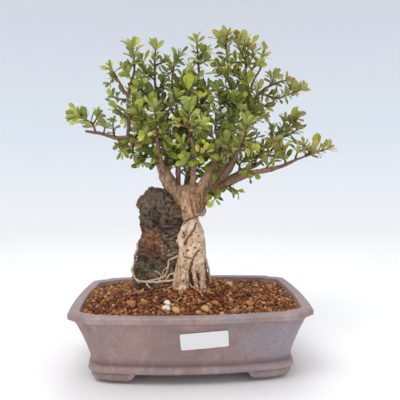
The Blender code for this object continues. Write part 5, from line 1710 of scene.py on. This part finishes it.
def build_wear():
    """Where edges are rubbed and lit, part wear and part painted highlight, and where hollows take
    painted shade, from a piece's stored relief, broken up by a noise.
    """
    work, entry, result = new_group("rubbed_edges", [
        ("Vector", "v", None), ("Relief", "f", 0.5), ("Start", "f", 0.6), ("End", "f", 0.9),
        ("Breakup", "f", 300.0)], ["Worn", "HollowShade"])
    broken = work.noise(entry["Vector"], entry["Breakup"], 3.0, 0.6)
    shifted = work.plus(entry["Relief"], work.times(work.minus(broken, 0.5), 0.35))
    # pale on raised edges: part wear, part painted highlight
    work.feed(result["Worn"], work.span(shifted, entry["Start"], entry["End"]))
    # painted shade: darker the lower the relief, in the hollows
    work.feed(result["HollowShade"], work.span(entry["Relief"], 0.5, 0.1))
    return work.tree


EFFECTS = {"cloudy": build_cloudy(), "grit": build_grit(), "flecks": build_flecks(),
           "wear_and_shade": build_wear()}


class Coat(Finish):
    """A material that drifts between two tones and takes one stain after another."""

    def __init__(self, name, scale=0.0, contrast=1.0, dark=None, light=None, stretch=None):
        self.material = bpy.data.materials.new(name)
        self.material.use_nodes = True
        super().__init__(self.material.node_tree)
        self.surface = self.tree.nodes["Principled BSDF"].inputs
        self.place = self.node("TexCoord").outputs["Object"]
        if scale:
            vector = self.stretched(*stretch) if stretch else self.place
            tones = self.use("cloudy", Vector=vector, Scale=scale, Contrast=contrast)
            self.drift, self.fine = tones["Drift"], tones["Fine"]
        if dark:
            self.colour = self.mix(self.drift, dark, light)

    def use(self, effect, **inputs):
        return self.node("Group", inputs, node_tree=EFFECTS[effect]).outputs

    def stretched(self, *scale):
        return self.node("Mapping", {"Vector": self.place, "Scale": scale}).outputs[0]

    def height(self):
        return self.node("SeparateXYZ", {0: self.place}).outputs[2]

    def uv(self):
        return self.node("SeparateXYZ", {0: self.node("UVMap", uv_map="UVMap").outputs[0]}).outputs

    def tint(self):
        """The four numbers stored for each leaf, grain or petal."""
        stored = self.node("Attribute", attribute_name="tint").outputs
        return [*self.node("SeparateColor", {0: stored["Color"]}).outputs, stored["Alpha"]]

    def near_spot(self, spot, radius, wobble):
        """A soft, ragged patch round a spot, both given in millimetres."""
        stir = self.node("TexNoise", {"Vector": self.place, "Scale": 110.0, "Detail": 4.0})
        stir = self.vectors("SUBTRACT", stir.outputs[1], (0.5, 0.5, 0.5))
        moved = self.vectors("ADD", self.place, self.vectors("SCALE", stir, wobble * MM))
        away = self.vectors("SUBTRACT", moved, tuple(ORIGIN + Vector(spot) * MM))
        scaled = self.vectors("MULTIPLY", away, tuple(1 / (r * MM) for r in radius))
        length = self.node("VectorMath", {0: scaled}, operation="LENGTH").outputs["Value"]
        return self.span(length, 1.0, 0.5)

    def lay(self, mask, tint):
        self.colour = self.mix(mask, self.colour, tint)

    def stain(self, mask, share, tint):
        self.lay(self.times(mask, share), tint)

    def blotches(self, grain, reach, tint, vector=None):
        """Blotches of one tint: the grain of their noise, and where it starts and ends."""
        low, high, share = reach
        drawn = self.noise(vector or self.place, *grain)
        self.lay(self.span(drawn, low, high, 0.0, share), tint)

    def specks(self, scale, size, share, strength, tint):
        mask = self.use("flecks", Vector=self.place, Scale=scale, Size=size, Share=share)["Mask"]
        self.stain(mask, strength, tint)

    def rub(self, end, breakup, worn_and_lit, worn_and_lit_tint, hollow_shade, hollow_shade_tint):
        """Pale on the edges, part wear and part painted highlight, and dark with painted shade in
        the hollows, from the stored relief.
        """
        wear_and_shade = self.use("wear_and_shade", Vector=self.place, Relief=self.value_of("relief"), Start=0.60,
                        End=end, Breakup=breakup)
        self.stain(wear_and_shade["Worn"], worn_and_lit, worn_and_lit_tint)
        self.stain(wear_and_shade["HollowShade"], hollow_shade, hollow_shade_tint)

    def grit(self, scale, pores):
        return self.use("grit", Vector=self.place, Scale=scale, Pores=pores)["Height"]

    def glow(self, weight, radius, scale):
        """Lets light through a thin blade."""
        for key, value in (("Weight", weight), ("Radius", radius), ("Scale", scale)):
            self.surface["Subsurface " + key].default_value = value

    def end(self, smooth, dull, height, strength, distance):
        """Links the colour, the range of roughness and the bumps to the surface."""
        self.feed(self.surface["Base Color"], self.colour)
        self.feed(self.surface["Roughness"], self.span(self.fine, 0.3, 0.7, smooth, dull))
        bump = self.node("Bump", {"Height": height, "Strength": strength, "Distance": distance})
        self.feed(self.surface["Normal"], bump.outputs[0])
        return self.material


def make_stoneware():
    coat = Coat("fired_stoneware", 26.0, 1.2, (0.245, 0.155, 0.138), (0.390, 0.272, 0.250))
    streak = coat.stretched(1.0, 1.0, 0.22)
    coat.blotches((14.0, 3.0, 0.6, 0.8), (0.5, 0.68, 0.55), (0.235, 0.225, 0.265))
    coat.blotches((55.0, 4.0, 0.7, 0.5), (0.54, 0.70, 0.75), (0.285, 0.135, 0.105), streak)
    coat.stain(coat.near_spot((66, -55, 34), (40, 34, 20), 12), 0.65, (0.305, 0.285, 0.345))
    coat.blotches((240.0, 4.0, 0.75, 0.5), (0.50, 0.68, 0.5), (0.215, 0.150, 0.150))
    coat.blotches((120.0, 4.0, 0.7, 0.3), (0.54, 0.70, 0.55), (0.430, 0.345, 0.345), streak)
    coat.specks(480.0, 0.15, 0.12, 0.8, (0.045, 0.030, 0.028))
    coat.specks(420.0, 0.16, 0.10, 0.5, (0.50, 0.43, 0.40))
    # pale edges, part wear and part painted highlight, and painted shade in the hollows
    coat.rub(0.86, 260.0, 0.6, (0.46, 0.40, 0.40), 0.7, (0.115, 0.072, 0.066))
    return coat.end(0.46, 0.66, coat.grit(900.0, 0.6), 0.35, 0.0004)


def make_mesh_plastic():
    coat = Coat("drain_mesh_plastic", 120.0, 1.0, (0.012, 0.012, 0.013), (0.045, 0.040, 0.036))
    coat.specks(700.0, 0.3, 0.3, 0.5, (0.20, 0.11, 0.06))
    return coat.end(0.35, 0.6, coat.fine, 0.2, 0.0002)


def make_paper():
    coat = Coat("label_paper", 260.0, 0.8, (0.80, 0.79, 0.775), (0.88, 0.875, 0.865),
                stretch=(1.0, 1.0, 3.0))
    coat.blotches((70.0, 5.0, 0.7), (0.60, 0.78, 0.25), (0.66, 0.62, 0.58))
    return coat.end(0.42, 0.55, coat.fine, 0.12, 0.0001)


CLAY_TONES = [
    (0.00, (0.050, 0.016, 0.008)), (0.14, (0.130, 0.038, 0.015)), (0.40, (0.235, 0.074, 0.023)),
    (0.66, (0.360, 0.132, 0.038)), (0.86, (0.530, 0.240, 0.075)), (1.00, (0.720, 0.460, 0.200)),
]


def make_akadama(loose):
    """Baked clay: each loose grain has its own tone; the bed under them is darker."""
    coat = Coat("akadama_grain" if loose else "akadama_bed", 260.0, 1.0)
    if loose:
        tone, pale, coal, _ = coat.tint()
        own = coat.times(coat.maths("POWER", tone, 1.25), 0.78)
        coat.colour = coat.ramp(coat.plus(own, coat.times(coat.drift, 0.26)), CLAY_TONES)
        coat.stain(coat.maths("GREATER_THAN", pale, 0.988), 0.75, (0.66, 0.42, 0.20))
        coat.stain(coat.maths("LESS_THAN", coal, 0.045), 0.8, (0.035, 0.030, 0.028))
    else:
        coat.colour = coat.ramp(coat.times(coat.drift, 0.6), CLAY_TONES)
    coat.specks(1500.0, 0.3, 0.25, 0.35, (0.55, 0.36, 0.20))
    return coat.end(0.82, 0.97, coat.grit(1300.0, 0.5), 0.5, 0.0004)


def make_white_stone():
    coat = Coat("white_stone", 300.0, 1.2, (0.78, 0.58, 0.45), (1.0, 0.90, 0.77))
    return coat.end(0.6, 0.85, coat.grit(1100.0, 0.4), 0.3, 0.0003)


LAVA_PATCHES = [  # middle and reach in mm, the grain that breaks it up, start, end, strength, tint
    ((-31, -21, 105), (20, 22, 11), 140.0, 0.32, 0.52, 0.95, (0.330, 0.120, 0.042)),
    # painted shadow of the undercut below the rust lump
    ((-31, -21, 96), (18, 20, 8), 160.0, 0.34, 0.54, 0.85, (0.125, 0.034, 0.016)),
    ((-13, -20, 113), (18, 18, 13), 120.0, 0.28, 0.48, 0.85, (0.040, 0.018, 0.020)),
    ((-33, -21, 84), (17, 20, 10), 230.0, 0.40, 0.58, 0.75, (0.140, 0.135, 0.070)),
    ((-14, -21, 101), (16, 18, 17), 420.0, 0.48, 0.60, 0.85, (0.420, 0.340, 0.220)),
    ((-30, -16, 138), (26, 22, 13), 300.0, 0.44, 0.62, 0.55, (0.285, 0.205, 0.150)),
]


def make_lava():
    coat = Coat("lava_rock", 48.0, 1.7, (0.022, 0.012, 0.008), (0.195, 0.118, 0.068))
    layers = coat.stretched(0.8, 0.8, 1.3)
    coat.blotches((110.0, 5.0, 0.7, 0.6), (0.50, 0.64, 0.75), (0.240, 0.165, 0.110), layers)
    coat.blotches((95.0, 4.0, 0.7, 0.4), (0.52, 0.66, 0.8), (0.022, 0.014, 0.012))
    for spot, radius, scale, low, high, strength, tint in LAVA_PATCHES:
        grain = coat.span(coat.noise(layers, scale, 4.0, 0.7), low, high, 0.0, strength)
        coat.stain(coat.near_spot(spot, radius, 12), grain, tint)
    # pale ridges, part wear and part painted highlight, and painted shade, near black, in the pits
    # and crevices
    coat.rub(0.95, 420.0, 0.6, (0.33, 0.235, 0.155), 0.9, (0.010, 0.006, 0.004))
    return coat.end(0.75, 0.95, coat.grit(620.0, 1.0), 0.9, 0.0010)


def make_bark():
    """Old wood is pale beige, the burl orange-tan, thin branches brown and then purple."""
    coat = Coat("barberry_bark", 120.0, 1.1)
    thin, limb, burl, old = (coat.mix(coat.drift, dark, light) for dark, light in (
        ((0.070, 0.028, 0.022), (0.215, 0.105, 0.068)),
        ((0.240, 0.122, 0.062), (0.780, 0.510, 0.310)),
        ((0.310, 0.135, 0.050), (0.900, 0.620, 0.370)),
        ((0.580, 0.365, 0.205), (0.970, 0.785, 0.590))))
    # painted shadow of the leaves over the right limbs
    limb_painted_shade = coat.times(coat.near_spot((34, -6, 160), (26, 40, 26), 8), 0.65)
    limb = coat.mix(limb_painted_shade, limb, (0.215, 0.118, 0.058))
    # painted shade on the right of the burl under its overhang, over its own darker reddish-brown
    burl_painted_shade = coat.times(coat.near_spot((12, -7, 129), (11, 14, 11), 6), 0.85)
    burl = coat.mix(burl_painted_shade, burl, (0.160, 0.072, 0.034))
    age, height = coat.value_of("age"), coat.height()
    lower = coat.span(coat.plus(height, coat.times(coat.drift, 0.012)), 0.140, 0.128)
    thick = coat.span(age, 0.55, 0.85)
    coat.colour = coat.mix(coat.span(age, 0.16, 0.36), thin, limb)
    coat.lay(thick, coat.mix(lower, burl, old))
    furrows = coat.noise(coat.stretched(1.0, 1.0, 0.2), 620.0, 5.0, 0.7, 0.3)
    smooth_skin = coat.minus(1.0, coat.times(lower, thick))
    coat.stain(coat.span(furrows, 0.52, 0.38, 0.0, 0.88),
               coat.plus(coat.times(smooth_skin, 0.7), 0.3), (0.120, 0.060, 0.034))
    patches = coat.span(coat.noise(coat.place, 230.0, 5.0, 0.75), 0.53, 0.64, 0.0, 0.8)
    coat.stain(patches, thick, (0.400, 0.225, 0.105))
    damp = coat.span(coat.noise(coat.place, 190.0, 4.0, 0.7), 0.44, 0.56)
    foot = coat.times(coat.span(height, 0.088, 0.066, 0.20, 0.90), damp)
    coat.stain(foot, thick, (0.290, 0.145, 0.062))
    # pale raised bark, part wear and part painted highlight, and painted shade in the crevices
    coat.rub(0.95, 520.0, 0.35, (0.74, 0.62, 0.46), 0.7, (0.150, 0.072, 0.038))
    ragged = coat.times(coat.minus(coat.noise(coat.place, 420.0, 3.0, 0.6), 0.5), 0.9)
    hollow = coat.plus(coat.value_of("hollow"), ragged)
    # brown in the clefts and pits, and painted shade, near black, at their deepest
    coat.lay(coat.span(hollow, 0.05, 0.45, 0.0, 0.85), (0.340, 0.150, 0.055))
    coat.lay(coat.span(hollow, 0.55, 1.2, 0.0, 0.9), (0.110, 0.042, 0.016))
    return coat.end(0.68, 0.9, furrows, 0.6, 0.0006)


def make_root_skin():
    coat = Coat("root_skin", 150.0, 1.2, (0.400, 0.255, 0.145), (0.780, 0.600, 0.420))
    rings = coat.noise(coat.place, 900.0, 4.0, 0.7)
    coat.lay(coat.span(rings, 0.46, 0.34, 0.0, 0.7), (0.150, 0.080, 0.045))
    return coat.end(0.66, 0.88, rings, 0.5, 0.0004)


def make_leaf_green():
    """Leaf colour from the stored tint: tone, which is painted light and shade, redness and upper
    or lower side.
    """
    coat = Coat("barberry_leaf", 170.0, 1.0)
    across, along, _ = coat.uv()
    tone, red, own, under = coat.tint()
    # the tone is painted light: dark for the shade inside the crown, pale with a painted sheen on
    # the outside
    shade = coat.plus(tone, coat.times(coat.minus(coat.drift, 0.5), 0.35), clamp=True)
    coat.colour = coat.ramp(shade, [
        (0.0, (0.020, 0.032, 0.001)), (0.3, (0.105, 0.140, 0.005)),
        (0.6, (0.320, 0.360, 0.022)), (1.0, (0.740, 0.750, 0.220))])
    coat.lay(coat.span(own, 0.5, 1.0, 0.0, 0.5), (0.150, 0.250, 0.060))
    coat.lay(coat.span(own, 0.12, 0.0, 0.0, 0.6), (0.520, 0.430, 0.170))
    side = coat.maths("ABSOLUTE", coat.minus(across, 0.5))
    slant = coat.minus(along, coat.times(side, 0.9))
    veins = coat.span(coat.maths("SINE", coat.times(slant, 46.0)), 0.80, 1.0)
    veins = coat.times(veins, coat.span(side, 0.42, 0.1))
    midrib = coat.span(side, 0.055, 0.018)
    lines = coat.maths("MAXIMUM", midrib, coat.times(veins, 0.35))
    coat.stain(lines, 0.45, (0.560, 0.580, 0.150))
    ragged = coat.times(coat.minus(coat.fine, 0.5), 0.22)
    edge = coat.span(coat.plus(side, ragged), 0.36, 0.50)
    tip = coat.span(coat.plus(along, ragged), 0.72, 1.0)
    blush = coat.times(coat.maths("MAXIMUM", edge, tip), red, clamp=True)
    coat.lay(coat.span(red, 0.35, 1.0, 0.0, 0.45), (0.450, 0.270, 0.090))
    coat.stain(blush, 0.95, (0.380, 0.110, 0.045))
    coat.lay(coat.span(along, 0.20, 0.04, 0.0, 0.85), (0.270, 0.120, 0.050))
    coat.specks(520.0, 0.2, 0.07, 0.7, (0.150, 0.070, 0.020))
    coat.stain(under, 0.5, (0.400, 0.440, 0.170))
    coat.glow(0.22, (0.8, 1.0, 0.2), 0.0012)
    coat.surface["Specular IOR Level"].default_value = 0.26
    return coat.end(0.34, 0.50, coat.minus(coat.fine, lines), 0.25, 0.0003)


def make_twig_bark():
    coat = Coat("twig_bark", 190.0, 1.2, (0.070, 0.026, 0.020), (0.220, 0.090, 0.055))
    joints = coat.span(coat.maths("SINE", coat.times(coat.uv()[1], 1.4)), 0.82, 1.0)
    coat.stain(joints, 0.6, (0.060, 0.030, 0.024))
    coat.specks(900.0, 0.25, 0.2, 0.5, (0.360, 0.230, 0.150))
    return coat.end(0.5, 0.75, coat.noise(coat.place, 1100.0, 4.0, 0.7), 0.4, 0.0003)


def make_thorn():
    coat = Coat("thorn", 240.0, 1.2, (0.400, 0.390, 0.150), (0.640, 0.540, 0.290))
    coat.blotches((130.0, 3.0, 0.6), (0.50, 0.68, 0.7), (0.330, 0.130, 0.070))
    streaks = coat.plus(coat.fine, coat.times(coat.uv()[0], 0.05))
    return coat.end(0.38, 0.55, streaks, 0.2, 0.0002)


def make_petal():
    coat = Coat("barberry_petal", 320.0, 1.1)
    tone, red, _, _ = coat.tint()
    coat.colour = coat.ramp(coat.plus(coat.times(tone, 0.7), coat.times(coat.drift, 0.3)), [
        (0.0, (0.640, 0.720, 0.080)), (0.4, (0.900, 0.860, 0.110)), (1.0, (1.0, 0.920, 0.260))])
    coat.stain(red, 0.4, (0.620, 0.300, 0.090))
    coat.glow(0.2, (1.0, 0.8, 0.2), 0.001)
    return coat.end(0.4, 0.55, coat.fine, 0.15, 0.0002)


# Flowers

def bunch_place(name, wood):
    """Where a bunch's stalk starts, the way it hangs, and the middle of the bunch."""
    seat, near, hang = FLOWERS[name]
    start, along = nearest_on_lines(twig_lines(seat, wood), near), Vector(hang).normalized()
    return start, along, start + along * BUNCH_STALK


def make_bunch(name, wood, petal, bud):
    """A drooping bunch of small yellow flowers and round buds beside a twig."""
    draw = random.Random(name)
    pile = Gathered()
    start, along, middle = bunch_place(name, wood)
    stalk, co = tube_shape(np.array([start, (start + middle) / 2, middle]), [0.42, 0.36, 0.34], 6)
    pile.add(stalk, co, (0.1, 0.4, 0, 0), 1)
    side = along.orthogonal().normalized()
    for k in range(8):
        around = Matrix.Rotation(math.tau * k / 8 + draw.uniform(-0.3, 0.3), 3, along) @ side
        out = (along * draw.uniform(0.25, 0.9) + around * draw.uniform(0.5, 0.9)).normalized()
        end = middle + out * draw.uniform(2.8, 4.2)
        stem, co = tube_shape(np.array([middle - out * 0.3, (middle + end) / 2, end]),
                              [0.26, 0.22, 0.24], 5)
        pile.add(stem, co, (0.15, 0.4, 0, 0), 1)
        turned = facing(out, Vector((0.2, 0.3, 1)))
        if k % 3 == 0:
            for ring, (count, spread, size) in enumerate(((6, 0.80, 2.9), (6, 0.45, 2.4))):
                for p in range(count):
                    petal_turn = Matrix.Rotation(math.tau * (p + ring / 2) / count, 3, out)
                    tilt = Matrix.Rotation(spread, 3, turned @ Vector((1, 0, 0)))
                    blade = petal_turn @ tilt @ turned
                    flower = petal["co"] * (size * 1.15, size, size)
                    pile.add(petal, flower @ np.array(blade).T + np.array(end),
                             (draw.uniform(0.55, 1.0), 0.12 * (ring == 0), 0, 0), 0)
            pile.add(bud, bud["co"] * 0.75 + np.array(end + out * 0.5), (0.2, 0, 0, 0), 0)
        else:
            size = draw.uniform(1.4, 1.9)
            co = bud["co"] * (size, size * 1.1, size) @ np.array(turned).T
            pile.add(bud, co + np.array(end + out * size * 0.7),
                     (draw.uniform(0.15, 0.8), draw.uniform(0, 0.35), 0, 0), 0)
    return pile.piece(name.replace("flowers", "blossoms"))


def petal_shape():
    """A spoon-shaped petal, modelled once, 1 long."""
    bpy.ops.mesh.primitive_grid_add(x_subdivisions=2, y_subdivisions=4, size=1.0)
    petal = added("petal")
    spots = []
    for along, half in ((0.0, 0.10), (0.3, 0.24), (0.6, 0.38), (0.86, 0.33), (1.0, 0.12)):
        for i in range(3):
            side = i - 1
            spots.append((side * half, along, 0.16 * side * side * along + 0.22 * along ** 2))
    set_points(petal, spots)
    return taken(thickened(petal, 0.09))


def bud_shape():
    """A round bud with the shallow furrows of its closed petals."""
    bpy.ops.mesh.primitive_ico_sphere_add(subdivisions=3, radius=1.0)
    bud = added("bud")
    co = points_of(bud)
    turn = np.arctan2(co[:, 2], co[:, 0])
    furrowed = 1 - 0.06 * (np.cos(3 * turn) > 0.4) * (np.abs(co[:, 1]) < 0.95)
    set_points(bud, co * furrowed[:, None])
    return taken(bud)


# Studio

def make_floor():
    """A pale floor that curves up all round into a wall, with no line at its edge."""
    profile = [(0.0, 0.0), (0.4, 0.0), (1.0, 0.0)]
    profile += [(1.0 + 0.7 * math.sin(t), 0.7 - 0.7 * math.cos(t))
                for t in np.linspace(0.12, math.pi / 2, 12)]
    profile += [(1.7, 1.4), (1.7, 2.6)]
    turns = [math.tau * j / 72 for j in range(72)]
    rows = [[(r * math.cos(t), r * math.sin(t), z) for t in turns] for r, z in profile]
    floor = drawn_sheet("studio_floor", rows, closed=False)
    turn_out(floor, inside=True)
    bpy.ops.object.shade_smooth()
    coat = Coat("studio_paper")
    # painted shade: darker and bluer up the wall, where less light reaches the backdrop
    coat.colour = coat.ramp(coat.span(coat.height(), 0.0, 1.0), [
        (0.0, (0.90, 0.885, 0.87)), (0.06, (0.86, 0.87, 0.875)), (0.3, (0.75, 0.80, 0.84)),
        (1.0, (0.69, 0.70, 0.75))])
    coat.blotches((3.0, 2.0), (0.3, 0.7, 0.04), (0.9, 0.9, 0.9))
    coat.feed(coat.surface["Base Color"], coat.colour)
    coat.surface["Roughness"].default_value = 0.9
    floor.data.materials.append(coat.material)


def add_lamp(name, place, aim, size, energy, colour=(1, 1, 1)):
    lamp = bpy.data.lights.new(name, "AREA")
    lamp.shape, lamp.size, lamp.energy, lamp.color = "DISK", size, energy, colour
    obj = bpy.data.objects.new(name, lamp)
    obj.location = place
    obj.rotation_euler = (Vector(aim) - Vector(place)).to_track_quat("-Z", "Y").to_euler()
    bpy.context.scene.collection.objects.link(obj)


def make_studio():
    make_floor()
    world = bpy.data.worlds.new("studio_air")
    bpy.context.scene.world = world
    world.use_nodes = True
    air = world.node_tree.nodes["Background"].inputs
    air["Color"].default_value = (0.97, 0.985, 1.0, 1)
    air["Strength"].default_value = 1.0
    middle = (0, 0, 0.14)
    add_lamp("key_light", (-0.55, -0.75, 1.35), middle, 0.8, 9.5)
    add_lamp("fill_light", (0.9, -0.8, 0.8), middle, 0.9, 2.0)
    add_lamp("top_light", (0.1, 0.35, 1.5), middle, 0.9, 5.5)
    bpy.context.scene.view_settings.view_transform = "Standard"


def make_camera():
    """The camera of the photograph, with its turns in radians."""
    yaw, pitch, roll = 0.0383, 0.0545, -0.009
    ahead = Vector((math.sin(yaw) * math.cos(pitch), math.cos(yaw) * math.cos(pitch),
                    -math.sin(pitch)))
    right = Vector((math.cos(yaw), -math.sin(yaw), 0))
    up = right.cross(ahead)
    across = right * math.cos(roll) + up * math.sin(roll)
    upward = up * math.cos(roll) - right * math.sin(roll)
    data = bpy.data.cameras.new("camera")
    data.sensor_width, data.lens, data.clip_start = 36.0, 45.18, 0.01
    camera = bpy.data.objects.new("camera", data)
    camera.location = ORIGIN + Vector(EYE) * MM
    camera.rotation_euler = Matrix((across, upward, -ahead)).transposed().to_euler()
    bpy.context.scene.collection.objects.link(camera)
    bpy.context.scene.camera = camera


# The whole tree

def main():
    pot = make_pot()
    store(pot, "relief", relief_of(pot, 2.0, 1))
    finished(settle(pot, 35), [make_stoneware()], ["pot"])
    finished(settle(make_label(), 40), [make_paper()], ["label"])
    plastic = make_mesh_plastic()
    for name in ("drain_mesh_left", "drain_mesh_right"):
        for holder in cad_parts[name].material_slots:
            holder.material = plastic

    finished(settle(make_rock()), [make_lava()], ["rock"])
    lines = wood_lines()
    bark = make_bark()
    for wood, skin in ((make_trunk(lines), bark), (make_thin_branches(lines), bark),
                       (make_thin_roots(lines), make_root_skin())):
        finished(settle(wood), [skin], ["trunk"])

    finished(settle(make_soil_bed()), [make_akadama(False)], ["soil"])
    grains = [make_akadama(True), make_white_stone()]
    for pile in scatter_grains(crumb_shapes(8)):
        finished(settle(pile), grains, ["soil"])

    leaf_finish = [make_leaf_green(), make_twig_bark(), make_thorn()]
    shapes, thorn = leaf_shapes(), thorn_shape()
    wood = [line for name, line, _ in lines if "root" not in name]
    canopy = Canopy([bunch_place(name, wood)[2] for name in FLOWERS] + BIG_LEAF)
    for name in SPRAYS:
        spray = make_spray(name, wood, shapes, thorn, canopy)
        finished(settle(spray, 50), leaf_finish, [name])
    for name in INNER_REGIONS:
        inner = make_inner_leaves(name, lines, shapes, thorn, canopy)
        finished(settle(inner, 50), leaf_finish)

    petal_finish = [make_petal(), leaf_finish[1]]
    petal, bud = petal_shape(), bud_shape()
    for name in FLOWERS:
        bunch = make_bunch(name, wood, petal, bud)
        finished(settle(bunch, 50), petal_finish, [name])

    make_studio()
    make_camera()


main()
